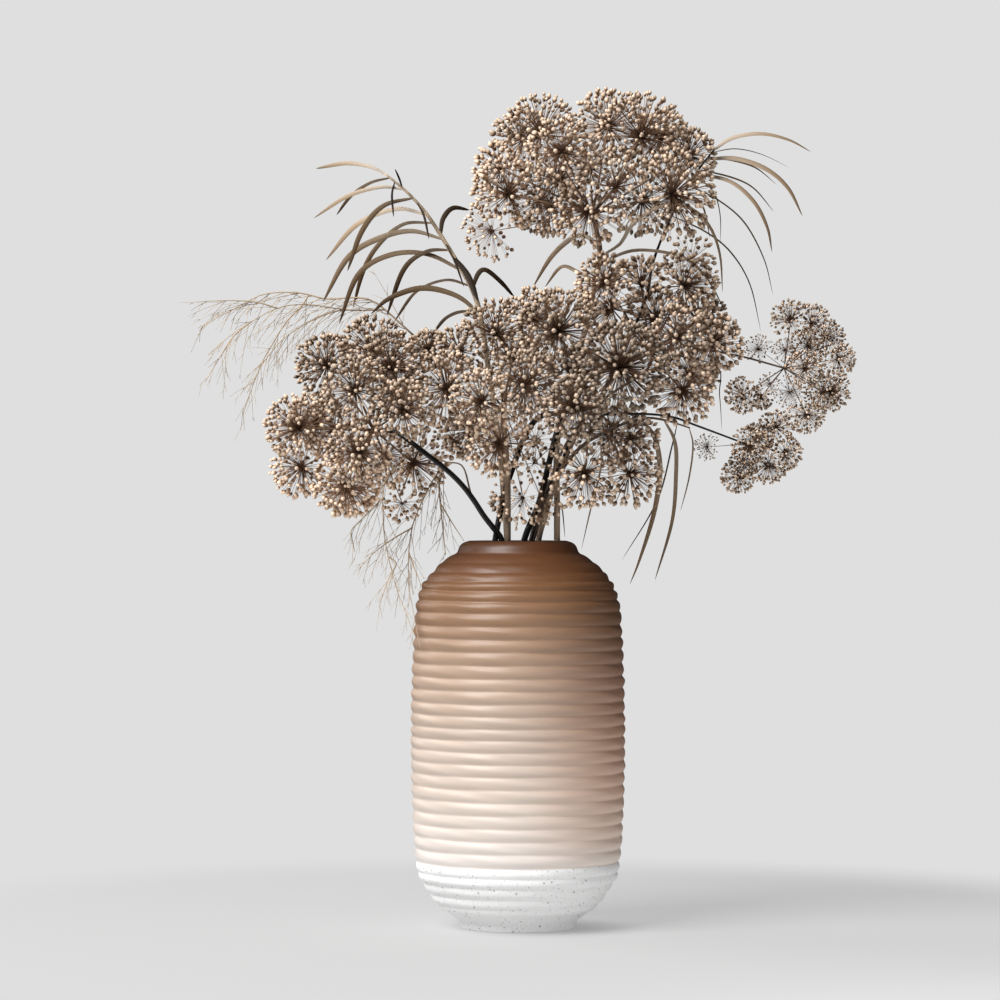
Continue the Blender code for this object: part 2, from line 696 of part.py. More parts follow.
def material(name, colour, roughness):
    """A plain finish."""
    made = bpy.data.materials.new(name)
    made.use_nodes = True
    shader = made.node_tree.nodes["Principled BSDF"]
    shader.inputs["Base Color"].default_value = (*colour, 1)
    shader.inputs["Roughness"].default_value = roughness
    shader.inputs["Metallic"].default_value = 0
    return made


def add(name, mesh, collection):
    """An object made of this mesh."""
    data = bpy.data.meshes.new(name)
    mesh.to_mesh(data)
    mesh.free()
    made = bpy.data.objects.new(name, data)
    collection.objects.link(made)
    return made


def fused(name, solids):
    """The solids joined into one closed skin, in an object of its own."""
    scene = bpy.context.scene.collection
    group = bpy.data.collections.new(name + "_solids")
    scene.children.link(group)
    base = add(name + "_base", solids[0], scene)
    for solid in solids[1:]:
        bmesh.ops.recalc_face_normals(solid, faces=solid.faces)
        add(name + "_solid", solid, group)
    join = base.modifiers.new("join", "BOOLEAN")
    join.operation = "UNION"
    join.operand_type = "COLLECTION"
    join.collection = group
    join.solver = "EXACT"
    graph = bpy.context.evaluated_depsgraph_get()
    data = bpy.data.meshes.new_from_object(base.evaluated_get(graph))
    made = bpy.data.objects.new(name, data)
    scene.objects.link(made)
    for helper in [base, *group.objects]:
        bpy.data.objects.remove(helper)
    bpy.data.collections.remove(group)
    return made


def main():
    for old in list(bpy.data.objects):
        bpy.data.objects.remove(old)
    finishes = {kind: material(kind, *look) for kind, look in COLOURS.items()}
    pot = add("vase", vase(), bpy.context.scene.collection)
    pot.data.materials.append(finishes["vase"])
    pot.data.shade_smooth()
    pot.data.set_sharp_from_angle(angle=SHARP_ANGLE)
    layout = laid_out()
    for name in PLANTS:
        plant = fused(name, solids_of(name, layout))
        plant.data.materials.clear()
        plant.data.materials.append(finishes[name.split("_")[0]])


if __name__ == "__main__":
    main()
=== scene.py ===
"""Dresses the vase of dried flowers: ribbed glazed stoneware, see-through globes of buds, leaves and grass.

Lengths are in metres and +Z is up. The front of the arrangement faces -Y. A plant's places are given as
they are seen from the front: column, row and depth, which at() turns into metres.
"""

import json
import math
import random
from typing import NamedTuple

import bpy
import numpy as np
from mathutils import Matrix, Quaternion, Vector
from mathutils.geometry import intersect_point_line

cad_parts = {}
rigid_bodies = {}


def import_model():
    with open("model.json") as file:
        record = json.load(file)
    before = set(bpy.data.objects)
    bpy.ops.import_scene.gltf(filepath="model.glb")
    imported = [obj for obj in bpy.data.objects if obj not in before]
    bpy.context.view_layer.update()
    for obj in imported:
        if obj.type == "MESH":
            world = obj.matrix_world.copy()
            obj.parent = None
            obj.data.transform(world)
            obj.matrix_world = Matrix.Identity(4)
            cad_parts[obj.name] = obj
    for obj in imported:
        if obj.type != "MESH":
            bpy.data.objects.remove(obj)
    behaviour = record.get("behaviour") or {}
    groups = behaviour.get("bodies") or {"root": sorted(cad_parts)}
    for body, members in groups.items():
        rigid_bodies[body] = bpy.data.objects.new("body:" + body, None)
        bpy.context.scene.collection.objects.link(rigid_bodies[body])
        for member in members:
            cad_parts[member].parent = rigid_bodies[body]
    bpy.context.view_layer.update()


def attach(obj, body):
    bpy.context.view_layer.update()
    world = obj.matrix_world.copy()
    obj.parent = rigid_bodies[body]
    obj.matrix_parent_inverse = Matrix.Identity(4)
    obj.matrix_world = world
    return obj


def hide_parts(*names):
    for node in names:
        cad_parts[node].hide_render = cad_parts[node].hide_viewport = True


for old in list(bpy.data.objects):
    bpy.data.objects.remove(old)
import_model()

MM = 0.001

# The vase, in metres
VASE_HEIGHT = 0.3
VASE_SIDES = 144
RIB_STEPS = 10
OUTLINE_STEPS = 400
BORE_STEPS = 60
GLAZE_EDGE = 0.051
VASE_WALL_RADIUS = 0.08
WAVE_TOP = 0.28
FLOOR_HEIGHT = 0.008
STEM_GAP = 0.0003

# Radius and height over the crests of the ribs, from the foot's edge to the lip's top, in millimetres
VASE_OUTLINE = (
    (46, 6), (52.5, 9.6), (63.2, 17.9), (70.7, 28.6), (74.6, 34.7), (78, 41.7), (79.3, 50.5),
    (81.2, 70), (82.8, 106), (83.4, 145), (82.8, 192), (81.2, 231), (79.7, 248.7), (77.3, 258.8),
    (74.6, 266.3), (70.7, 271.5), (65.7, 277.2), (59.4, 283.4), (52.6, 288.1), (47.8, 291),
    (46.8, 292.8), (45.2, 296), (42.5, 298.4), (38, 300),
)
VASE_FOOT = ((0.1, 0), (43.5, 0), (44.3, 0.3), (44.7, 1))
VASE_BORE = (
    (38, 300), (35.3, 299.2), (34.5, 297), (35, 291.5), (58, 272.5), (71, 252), (75.8, 215),
    (76.6, 145), (74.2, 70), (60, 26), (44, 8), (0.1, 8),
)

# Heights of the grooves between the ribs, in millimetres. The last one sets off the lip
GROOVE_HEIGHTS = (
    11.5, 18, 26.2, 34.7, 43.3, 51.8, 61.9, 71.8, 81.6, 91.5, 101.4, 111.3, 121, 130.3, 139.7, 148.8,
    157.5, 166.9, 176.2, 186.1, 195.6, 205.7, 215.7, 225.5, 235.3, 245.4, 254.6, 262.8, 270.1, 276.6,
    284.1, 290.6,
)
# Height in millimetres and depth in metres of the grooves, which are shallower below and near the lip
GROOVE_DEPTHS = (
    (11, 0.0012), (30, 0.0014), (130, 0.0014), (200, 0.0017), (262, 0.0017), (272, 0.0011), (282, 0.0007),
    (291, 0.0005),
)

# The front view that places are given in: a thousand columns and rows, seen level from in front
VIEW_CENTRE = 500
VASE_COLUMN = 518
VASE_FOOT_ROW = 926.7
VASE_ROWS = 386
STEP = VASE_HEIGHT / VASE_ROWS
EYE_DISTANCE = 3.07
EYE_X = (VIEW_CENTRE - VASE_COLUMN) * STEP
EYE_HEIGHT = (VASE_FOOT_ROW - VIEW_CENTRE) * STEP
SENSOR_WIDTH = 36
LENS = SENSOR_WIDTH * EYE_DISTANCE / (2 * VIEW_CENTRE * STEP)
CURVE_STEPS = 8

# Stems, rays and knobs, in metres
STEM_FLARE = 1.25
NECK_SHARE = 0.93
STEM_SPANS = 60
STEM_SIDES = 10
RAY_RADIUS = (0.0009, 0.0006)
THIN_RAY_RADIUS = (0.0005, 0.00035)
SPARSE_RAY_SHARE = 0.55
RAY_PLACES = (0, 0.3, 0.7, 1)
RAY_SIDES = 6
HUB_RADIUS = 0.003
THIN_HUB_RADIUS = 0.0014
THIN_STEM_RADIUS = 0.0015
KNOB_SHARE = 0.06

# Buds: a unit body from its stalk to its tip as height and radius, and how they stand on a globe
BUD_PROFILE = ((0, 0), (0.12, 0.46), (0.38, 0.98), (0.64, 0.92), (0.85, 0.5), (1, 0))
BUD_SIDES = 6
BUD_SIZES = (0.74, 1.18)
BUD_LEAN = 0.1
BUD_ROOM = 0.001
KNOB_PROFILE = ((-1, 0), (-0.6, 0.8), (0.1, 1), (0.7, 0.7), (1, 0))
KNOB_SIDES = 8
STALK_PROFILE = ((0, 1.3), (1, 0.8))
STALK_SIDES = 3
STALK_CHECKS = (0.45, 0.7)
STALK_INTO_BUD = 0.9
SEED_BITS = 32
TURN_JITTER = 0.09
TIP_SHARES = (0.95, 1.05)
SHORT_TIP_SHARES = (0.78, 0.94)
SHORT_SHARE = 0.22
HUB_COSINE = 0.86
HUB_THINNING = 0.75
INSIDE_SHARE = 0.8
NEAR_SHARE = 1.1
PLACE_SPACING = 0.002
BUD_TONE_SPREAD = 0.22
GLOBE_TONE_SPREAD = 0.05
RAY_TONE = 0.4
MIDDLE_TONE = 0.5
STEEP = 0.9

# Leaves: widths from root to tip as (share of length, share of width), section as share of the width
LEAF_FACING = Vector((0.25, -1, 0.55))
LEAF_SPANS = 26
LEAF_SHAPE = (
    (0, 0.5), (0.06, 0.8), (0.2, 1.12), (0.45, 1.3), (0.72, 1.15), (0.88, 0.8), (0.96, 0.44), (1, 0.08),
)
SLIM_LEAF_SHAPE = (
    (0, 0.5), (0.06, 0.85), (0.2, 1.15), (0.45, 1.15), (0.72, 0.85), (0.88, 0.52), (0.96, 0.28), (1, 0.06),
)
LEAF_SECTION = (
    (0.5, 0), (0.3, 0.13), (0, 0.19), (-0.3, 0.13), (-0.5, 0), (-0.3, -0.05), (0, -0.08), (0.3, -0.05),
)
# Painted shade: the share of its tone that a leaf keeps on its underside
UNDERSIDE_PAINTED_SHADE = 0.5
LEAF_TWIST = (-0.4, 0.4)
LEAF_ROOM = 0.65
THIN_LEAF = 0.0025
THIN_LEAF_SHARE = 0.62
SHARP_ANGLE = math.radians(45)

# Grass strands and their side twigs, in metres, radians and shares
STRAND_RADIUS = (0.00088, 0.0003)
STRAND_SPANS = 24
STRAND_SIDES = 5
BRANCH_SHARE = 0.75
TWIG_RADII = (0.62, 0.28)
NEXT_TWIG_SHARE = 0.8
TWIG_SIDES = 3
TWIG_SPANS = 4
TWIG_PLACES = (0.1, 0.9)
TWIG_TURN = (-0.7, 0.7)
TWIG_FALL = 1.2
TWIG_SAG = Vector((0, 0, -0.1))
TWIG_PLANE = Vector((0.1, -1, 0.1))
UPWARD = 0.5
UPWARD_SHARE = 0.28
STRAND_LOOK = 0.05
VASE_MARGIN = 0.002

# How uneven the vase is: waves round it as (number, turn with height, size in metres)
WAVES = ((3, 0.21, 0.00016), (5, 0.37, 0.00012), (8, 0.83, 0.0001), (13, 0.57, 0.00007))
WAVE_GROWTH = 4
FOOT_STEPS = 4
PROFILE_LOOK = 0.002

# Finishes: colours are linear red, green and blue. The glaze's are given by height in millimetres, on its
# left and on its right, where painted shade makes them browner and darker. A noise is its scale, its detail
# and how it is squeezed along X, Y and Z
GLAZE_STOPS = (
    (52, (0.79, 0.72, 0.675), (0.83, 0.73, 0.65)), (72, (0.75, 0.655, 0.59), (0.81, 0.62, 0.51)),
    (108, (0.68, 0.57, 0.49), (0.72, 0.475, 0.355)), (145, (0.59, 0.475, 0.395), (0.57, 0.345, 0.24)),
    (164, (0.535, 0.41, 0.325), (0.47, 0.272, 0.183)), (200, (0.465, 0.325, 0.235), (0.355, 0.195, 0.129)),
    (238, (0.325, 0.187, 0.107), (0.232, 0.121, 0.066)), (262, (0.24, 0.115, 0.05), (0.18, 0.083, 0.037)),
    (278, (0.158, 0.06, 0.02), (0.125, 0.048, 0.018)), (294, (0.105, 0.037, 0.012), (0.085, 0.03, 0.011)),
)
# Painted shade: between these distances along +X the glaze turns from its left colours to its shaded right
# ones
PAINTED_SHADE_FROM = 0.005
PAINTED_SHADE_TO = 0.078
GLAZE_ROUGHNESS = 0.5
GLAZE_SHEEN = 0.62
GLAZE_COAT = {"Coat Weight": 0.1, "Coat Roughness": 0.28}
GLAZE_BUMP = {"Strength": 0.12, "Distance": 0.001}
BUMP_NOISE = (60, 3, (0.6, 0.6, 3))
GLAZE_WOBBLE = 0.008
WOBBLE_NOISE = (9, 2, (1, 1, 0.4))
STREAK_NOISE = (22, 4, (0.5, 0.5, 5))
STREAKS = ((0.3, 0.93), (0.7, 1.05))
CLAY_COLOUR = (0.93, 0.93, 0.925)
CLAY_ROUGHNESS = 0.6
SPECK_NOISE = (1250, 1, (1, 1, 1))
SPECKS = ((0.62, 1), (0.72, 0.66))
SPOT_NOISE = (460, 0, (1, 1, 1.3))
SPOTS = ((0.755, 1), (0.79, 0.45))
GRAIN_NOISE = (260, 3, (1, 1, 0.08))
GRAIN = ((0.35, 0.6), (0.65, 1.3))
# Roughness, sheen, colours along a piece, and what they are multiplied by from dark pieces to light ones
TONED = {
    "bud": (
        0.5, 0.5,
        ((0, (0.075, 0.036, 0.018)), (0.25, (0.22, 0.124, 0.068)), (0.48, (0.6, 0.42, 0.285)),
         (0.75, (0.94, 0.74, 0.57)), (1, (0.74, 0.54, 0.385))),
        ((0, 0.3), (0.5, 0.85), (1, 1.31)),
    ),
    "stalk": (
        0.8, 0.5,
        ((0, (0.085, 0.04, 0.02)), (0.4, (0.15, 0.08, 0.043)), (1, (0.33, 0.2, 0.12))),
        ((0, 0.6), (1, 1.6)),
    ),
    "leaf": (
        0.6, 0.2,
        ((0, (0.86, 0.73, 0.585)), (0.3, (0.78, 0.63, 0.475)), (0.6, (0.58, 0.425, 0.28)),
         (0.88, (0.38, 0.262, 0.162)), (1, (0.2, 0.132, 0.08))),
        ((0, (0.035, 0.03, 0.027)), (0.2, (0.165, 0.136, 0.108)), (0.4, (0.34, 0.3, 0.255)),
         (1, (1.1, 1.14, 1.2))),
    ),
    "grass": (
        0.8, 0.5,
        ((0, (0.6, 0.45, 0.29)), (1, (0.58, 0.455, 0.32))),
        ((0, 0.35), (0.4, 0.9), (1, 1.2)),
    ),
}
PLAIN = {
    "stem_black": (0.22, (0.012, 0.011, 0.011)),
    "stem_tan": (0.55, (0.4, 0.29, 0.205)),
    "stem_brown": (0.55, (0.13, 0.08, 0.05)),
    "stem_khaki": (0.6, (0.62, 0.49, 0.345)),
}
# The numbers of the colour inputs and the colour output of a node that mixes
MIX_FIRST = 6
MIX_SECOND = 7
MIX_RESULT = 2

# Stage and lights, in metres, degrees and watts. A light is its azimuth, elevation, distance, size and
# power, and the height on the vase's axis that it shines on
BACKDROP = (0.737, 0.737, 0.737)
FLOOR_COLOUR = (0.21, 0.21, 0.21)
FLOOR_GLOW = 0.46
# A painted shadow dims the floor's glow round the vase's foot: its centre, the distances over which it
# fades, and the share of the glow left at its darkest
PAINTED_SHADOW_CENTRE = (0.022, -0.01, 0)
PAINTED_SHADOW_REACH = (0.015, 0.085)
PAINTED_SHADOW_GLOW = 0.56
FLOOR_CENTRE = 0.001
FLOOR_RADIUS = 0.65
FLOOR_FADE = (0.42, 0.64)
BOWL_RADIUS = 3.5
BOWL_BEND = 1.5
BOWL_STEPS = 9
BOWL_HEIGHT = 4.5
STAGE_SIDES = 64
LIGHTS = {
    "key": (-46, 42, 3.4, 2.1, 170, 0.35),
    "side": (-118, 25, 2.4, 1.4, 22, 0.3),
    "fill": (30, 2, 0.7, 0.35, 1.6, 0.04),
}
AMBIENT = 0.038
SIGHT = 50


class Buds(NamedTuple):
    """How the buds of a globe look: a bud's radius and length, a stalk's radius, buds per mm of globe."""

    bud_radius: float
    bud_length: float
    stalk_radius: float
    each_mm: float


class Wisps(NamedTuple):
    """How grass branches: distance between twigs and their lengths, level by level, and their angles."""

    spacing: tuple
    twig_lengths: tuple
    angles: tuple


class Plant(NamedTuple):
    """One plant. Places are columns, rows and depths. Depths, radii and widths are in millimetres.

    The stem runs from the vase's mouth to the hub or the tip and gets its shape from foot to tip. A globe
    is a place and a radius and, where it differs, how much lighter its buds are, which is painted light and
    shade, mostly lighter low down and darker at the back and in the shade of other globes, and what share
    of them is there. A leaf is the depth of its tip, its width, its shade from nearly black to cream,
    partly its own colour and partly painted shade, and the points it passes. A strand of grass is the depth
    of its tip and the points it passes.
    """

    stem: tuple
    radius: float
    look: str = "stem_tan"
    shape: tuple = (1, 0.8)
    buds: tuple = ()
    globes: tuple = ()
    sparse: tuple = ()
    leaves: tuple = ()
    strands: tuple = ()
    wisps: tuple = ()


FINE_BUDS = Buds(0.0016, 0.0048, 0.00021, 9)
FULL_BUDS = Buds(0.00172, 0.0051, 0.00023, 7.5)
FAR_BUDS = Buds(0.00108, 0.0026, 0.00012, 11)
SPARSE_BUDS = Buds(0.00158, 0.0043, 0.00014, 3.8)
SPARSE_FAR_BUDS = Buds(0.00065, 0.0015, 0.00009, 8)
DENSE_BUDS = Buds(0.00172, 0.0051, 0.00022, 9.8)

PLANTS = {
    "umbel_left": Plant(
        stem=(
            (502, 541, -18), (493, 527.5, -19), (484, 516, -20), (473.4, 499.7, -22), (462.5, 485.5, -24),
            (448.4, 471.5, -26), (425, 453, -28), (397, 433, -20), (374, 430, -5),
        ),
        radius=2.3, look="stem_black", buds=(FINE_BUDS, SPARSE_BUDS),
        globes=(
            (327, 366, 10, 27, -0.1), (391, 368, -15, 31, -0.15), (356, 391, -45, 28, -0.15),
            (299, 428, -10, 28.5, 0.08), (318, 422, 40, 25), (302, 467, 5, 26, 0.35, 0.85),
            (346, 484, -20, 28.5, 0.5, 0.75), (358, 452, -60, 26.5), (413, 463, 5, 29.5, 0.15, 0.75),
            (372, 350, 35, 28.5, -0.1), (403, 410, -55, 25.5, -0.1), (428, 350, 22, 18),
            (335, 430, 78, 27, 0.1, 0.9), (385, 455, 68, 26.5, 0.3, 0.7), (350, 490, 48, 23, 0.5, 0.8),
            (395, 392, 60, 25, -0.15),
        ),
        sparse=((402, 503, 0, 17, 0.25, 0.8),),
    ),
    "umbel_centre_left": Plant(
        stem=((507.5, 541, -8), (507.5, 480, -9), (505, 440, -11), (503, 408, -12)),
        radius=2.7, buds=(FINE_BUDS, SPARSE_BUDS),
        globes=(
            (447, 389, -30, 31), (496, 334, -10, 29.5, -0.05), (524, 386, -60, 30, -0.1),
            (499, 443, -40, 28, 0.25, 0.9), (460, 352, 6, 23), (533, 320, 10, 27),
            (482, 402, -78, 26, 0.05, 0.9), (530, 380, 70, 28), (470, 430, 62, 25, 0.25, 0.9),
            (512, 360, 78, 26),
        ),
        sparse=(
            (523, 498, -30, 25, 0.2, 0.8), (535, 440, -5, 19.5), (454, 439, 8, 18), (503, 501, -16, 12.5),
            (541, 497, -32, 22),
        ),
    ),
    "umbel_centre_right": Plant(
        stem=((538.5, 541, -5), (546, 513, -10), (556, 480, -15), (576, 435, -19), (592, 408, -20)),
        radius=2.4, buds=(DENSE_BUDS, SPARSE_BUDS),
        globes=(
            (559, 331, -35, 34, -0.2), (620, 368, -60, 38, -0.4, 1.45), (575, 407, -82, 26, -0.3, 1.1),
            (585, 472, -45, 29.5, 0.1, 0.7), (629, 473, -30, 28, 0.15, 0.6), (630, 438, -8, 25, 0.05, 0.6),
            (610, 432, 70, 28, -0.2, 0.8), (572, 375, 64, 26, -0.4, 1.1),
        ),
        sparse=((534, 463, -34, 18),),
    ),
    "umbel_right": Plant(
        stem=(
            (524, 541, -6), (539, 503, -5), (549, 463, -2), (556, 435, 0), (567, 400, 4), (600, 372, 9),
            (650, 352, 12),
        ),
        radius=2.6, look="stem_black", buds=(FULL_BUDS, SPARSE_BUDS),
        globes=(
            (612, 309, 5, 28, 0.15), (605, 283, -25, 25, 0.15), (684, 286, 0, 28.5, 0.15, 0.9),
            (678, 338, -30, 28), (712, 343, -5, 26.5, 0.15), (681, 390, -25, 29, 0.2, 0.8),
            (641, 285, 0, 24, 0.15), (656, 318, 70, 28), (698, 320, 56, 25), (690, 372, 56, 25),
        ),
        sparse=((691, 260, 46, 21.5, 0.2, 0.8),),
        leaves=((-2, 1.6, 0.2, (711, 343), (714.5, 365), (719.5, 395), (722, 431)),),
    ),
    "umbel_top": Plant(
        stem=(
            (557, 541, 0), (557, 501, 4), (556.5, 455, 11), (559.6, 423, 14), (566, 399, 17),
            (585, 330, 20), (597, 272, 18), (600, 251, 8), (593, 214, -10),
        ),
        radius=2.5, buds=(FULL_BUDS, SPARSE_BUDS),
        globes=(
            (541, 134, 0, 32.5, 0.12), (509, 194, 0, 31, 0.25, 0.9), (556, 181, 45, 29.5, 0, 0.8),
            (608, 127, 40, 32, 0.12), (641, 137, 0, 36, 0.08), (616, 187, -50, 32, 0.12, 0.6),
            (589, 211, -28, 30, 0, 0.85), (672, 194, -45, 36, 0.08), (551, 206, 5, 26, 0, 0.75),
            (688, 156, 15, 24.5), (660, 138, 52, 25), (562, 152, -38, 29, 0.1, 0.75),
            (590, 168, 92, 30, -0.15, 0.5), (642, 200, 78, 31, -0.1, 0.65), (540, 200, 78, 29, -0.1, 0.65),
            (522, 140, 35, 27), (501, 168, 30, 23.5, 0.25, 0.9),
        ),
        sparse=((492.5, 231, 10, 26, 0.25, 0.9),),
        leaves=(
            (46, 4, 0.82, (600, 250), (589, 238), (574, 237), (552, 256), (533, 287)),
            (38, 3, 0.7, (595, 280), (576, 271), (561, 267), (545, 287)),
            (34, 2.6, 0.6, (599, 262), (633, 250.5), (673, 254), (696, 266), (712, 286), (725, 312)),
            (-5, 2.8, 0.7, (604, 255), (620, 244), (631, 226), (650, 211), (669, 205), (692, 209),
             (710, 227), (720, 255), (722.5, 292)),
            (2, 1.4, 0.12, (557, 497), (562, 508), (565, 538)),
        ),
    ),
    "umbel_far_upper": Plant(
        stem=(
            (530, 541, 6), (545, 495, 14), (557, 462, 22), (575, 430, 23), (600, 402, 8), (630, 382, 2),
            (657, 367, 10), (698, 351, 18), (739, 356, 12), (784, 368, 5),
        ),
        radius=1.3, look="stem_brown", shape=(1, 0.85, 0.55), buds=(FAR_BUDS, SPARSE_FAR_BUDS),
        globes=(
            (791, 320, 0, 16.8), (811, 324, -4, 17), (805, 369, -18, 16), (826, 338, 8, 15.8),
            (838, 359, -5, 14.5), (830, 391, -6, 17), (806, 414, 0, 15.8), (743, 395, -5, 15.3),
            (808, 346, 38, 16), (822, 392, 32, 15.5), (761, 397, 6, 11),
        ),
        sparse=((758.5, 349, 14, 12), (785.5, 351, 18, 11), (789.5, 391, 13, 14), (770, 384, 12, 10)),
    ),
    "umbel_far_lower": Plant(
        stem=(
            (531, 541, -14), (546, 496, -20), (562, 460, -27), (577, 428, -33), (592, 416, -35),
            (642, 414, -32), (672, 417, -25), (695, 425, -16), (746, 444, 0),
        ),
        radius=1.3, look="stem_black", shape=(1, 0.85, 0.55), buds=(FAR_BUDS, SPARSE_FAR_BUDS),
        globes=(
            (750, 445, -12, 15.5), (776, 428, 0, 15), (785, 453, -2, 14.5), (768, 464, 4, 16.5),
            (738, 476, 0, 14.5), (758, 438, 26, 13.5), (744, 462, 22, 12.5),
        ),
        sparse=((707, 447, 8, 11),),
    ),
    "leaves_upper_left": Plant(
        stem=(
            (507, 541, 8), (504, 500, 14), (500, 450, 22), (490, 380, 32), (480, 314, 28), (471.6, 288, 24),
            (459.7, 266.5, 20), (443.4, 239.4, 15), (427, 214.4, 10), (412, 197, 6), (399, 185, 3),
            (384, 173, 0),
        ),
        radius=2.3, look="stem_khaki", shape=(1, 1, 1, 0.9, 0.7, 0.35),
        leaves=(
            (-15, 3, 1, (387, 175), (371, 167), (346, 163.3), (316, 168.6)),
            (-50, 3.2, 0.88, (403, 190), (381, 187), (348, 196), (314, 218)),
            (40, 2.8, 0.2, (389, 179), (370, 183), (351, 196), (336.5, 215)),
            (-70, 3.4, 0.3, (411, 199), (383, 206), (362, 231), (347.5, 271)),
            (12, 3.6, 0.76, (427, 214), (396, 209), (357, 224.5), (326, 260)),
            (66, 3.2, 0.32, (432, 222.5), (404, 224), (380, 243), (364, 269), (353, 308)),
            (-30, 3.8, 0.5, (442, 239), (412, 231), (380, 238), (348, 257.5), (323, 302)),
            (34, 3.8, 0.34, (459, 271), (427, 254), (390, 255), (358, 275), (339, 324)),
            (34, 3.2, 0.2, (449, 249), (427, 251.5), (404, 269), (387, 315)),
            (22, 3.8, 0.32, (478, 313), (457, 296), (423, 288), (390, 298), (371, 314)),
            (100, 3, 0.22, (470, 285), (446, 280), (416, 292), (394, 322)),
            (54, 2.8, 0.16, (480, 316), (464, 311.5), (446, 318), (432, 335)),
            (-26, 2.4, 0.04, (416, 202), (424, 216), (429, 239)),
            (-30, 2.2, 0, (395, 181), (392, 195), (393.6, 217)),
            (-14, 2.4, 0.04, (445, 241), (455, 262), (464, 287)),
            (-18, 4, 0.02, (457, 254), (468, 276), (478, 301)),
            (36, 3.2, 0.06, (440, 234), (443, 219), (453, 208), (469.5, 210)),
            (48, 3.4, 0.1, (472, 288), (478, 274), (486, 270), (501, 282), (515, 298)),
            (-4, 2.2, 0, (402, 188), (399, 178), (395, 169)),
        ),
    ),
    "leaves_upper_right": Plant(
        stem=(
            (495, 541, -5), (504.5, 494, 1), (513.5, 466, 7), (524, 438, 15), (539, 417, 25),
            (565, 412, 31), (597, 403, 35), (617, 360, 38), (638, 318, 39), (648, 290, 38), (653, 262, 36),
            (672, 215, 32), (697, 172, 27), (714, 150, 24),
        ),
        radius=2.3, look="stem_black", shape=(1, 1, 0.95, 0.7, 0.42, 0.32),
        leaves=(
            (20, 3.2, 0.68, (714, 150), (732, 138.2), (760, 133.7), (788, 139.6), (810.5, 151.5)),
            (70, 1.4, 0.15, (712, 152), (736, 148.8), (762, 154.5), (789.6, 167.7)),
            (-20, 4, 0.5, (708, 160), (736, 158.6), (766, 169), (788, 188), (802.5, 216)),
            (60, 2.4, 0.42, (700, 170), (732, 177.5), (754, 188.5), (774, 212)),
            (-45, 3.8, 0.5, (697, 174), (729, 181), (753, 200.6), (767, 226.6), (772, 252)),
            (10, 2.2, 0.16, (690, 186), (716.6, 199), (744, 222), (764, 259), (773, 295)),
            (36, 2.4, 0.16, (672, 215), (706, 232), (731, 252.5), (750, 284.5), (761, 332)),
            (30, 1.4, 0.1, (700, 178), (713, 191), (720, 214), (720.5, 243)),
            (96, 2.6, 0.5, (708, 157), (732, 160), (756, 168), (777, 185)),
            (126, 3.4, 0.6, (692, 181), (668, 160), (640, 165), (620, 190)),
            (98, 2.8, 0.35, (676, 207), (690, 197), (703, 207), (710, 238)),
        ),
    ),
    "leaves_low_right": Plant(
        stem=(
            (533, 541, 22), (550, 492, 29), (572, 456, 31), (600, 434, 19), (640, 419, 5), (664, 420, 3),
            (690, 428, 6),
        ),
        radius=1.6, look="stem_brown", shape=(1, 1, 1, 0.9, 0.7, 0.35),
        leaves=(
            (-12, 3.6, 0.5, (640, 419), (654, 436), (660, 469), (654, 513), (639.5, 560), (630, 584)),
            (12, 3, 0.5, (664, 420), (675, 442), (676, 475), (672, 522), (655, 580)),
            (22, 2, 0.45, (689, 428), (693, 446), (689, 478), (680.5, 511)),
            (34, 1.8, 0.1, (677, 424), (672, 446), (657, 501), (622, 560)),
            (4, 2.2, 0.55, (600, 434), (601, 466), (589.5, 514), (581.5, 549)),
        ),
    ),
    "grass_upper_left": Plant(
        stem=(
            (507, 541, 24), (507, 500, 30), (501, 450, 40), (478, 405, 50), (440, 365, 54), (414, 336, 53),
        ),
        radius=1.1, shape=(1, 0.8, 0.5),
        strands=(

            (32, (414, 336), (384, 309), (369, 299.5), (350, 297.6), (326, 299), (300, 293),
             (266, 293.7), (241, 305), (198, 328)),
            (-8, (384, 309), (348.5, 310), (307, 304.5), (278, 308), (249, 323), (226, 339), (208, 355)),
            (0, (278, 308), (255, 302), (224, 300.6), (193, 302.2)),
            (0, (361, 310), (339, 310.6), (315, 319), (287, 336), (266, 359), (247, 393)),
            (60, (308, 294.5), (301, 307), (287, 321), (273, 343), (259, 369), (242, 417)),
            (-30, (252, 321), (233, 337), (217, 362), (205, 382)),
        ),
        wisps=Wisps((0.0086, 0.015), ((0.022, 0.058), (0.01, 0.024)), (0.26, 0.62)),
    ),
    "grass_lower_left": Plant(
        stem=((502, 541, 24), (492.5, 526, 30), (473, 499, 38), (463, 467, 41), (446, 462, 40)),
        radius=1.1, shape=(1, 0.8, 0.5),
        strands=(
            (-6, (446, 462), (441, 474), (439, 486), (442, 520), (445.5, 555)),
            (-4, (442, 503), (451, 521), (464, 541)),
            (-46, (446, 462), (433, 480), (420, 506), (412, 528), (408.5, 557), (409, 591), (412, 604),
             (420, 649)),
            (-48, (446, 462), (420, 452), (398, 464), (384, 485), (383.5, 524), (387, 551), (397, 590),
             (415, 636)),
            (14, (384, 498), (362, 519), (351, 532), (355, 552)),
            (-46, (409, 553), (413, 565), (422, 587)),
            (-50, (412, 528), (396, 537), (376, 551), (357, 571)),
            (-52, (389, 556), (396, 564), (388, 580), (379, 607)),
        ),
        wisps=Wisps((0.0085, 0.015), ((0.02, 0.048), (0.008, 0.02)), (0.2, 0.5)),
    ),
}


def at(column, row, depth):
    """The point seen at a column and row of the front view, depth millimetres behind the vase's axis."""
    reach = STEP * (EYE_DISTANCE + depth * MM) / EYE_DISTANCE
    across = EYE_X + (column - VIEW_CENTRE) * reach
    return Vector((across, depth * MM, EYE_HEIGHT - (row - VIEW_CENTRE) * reach))


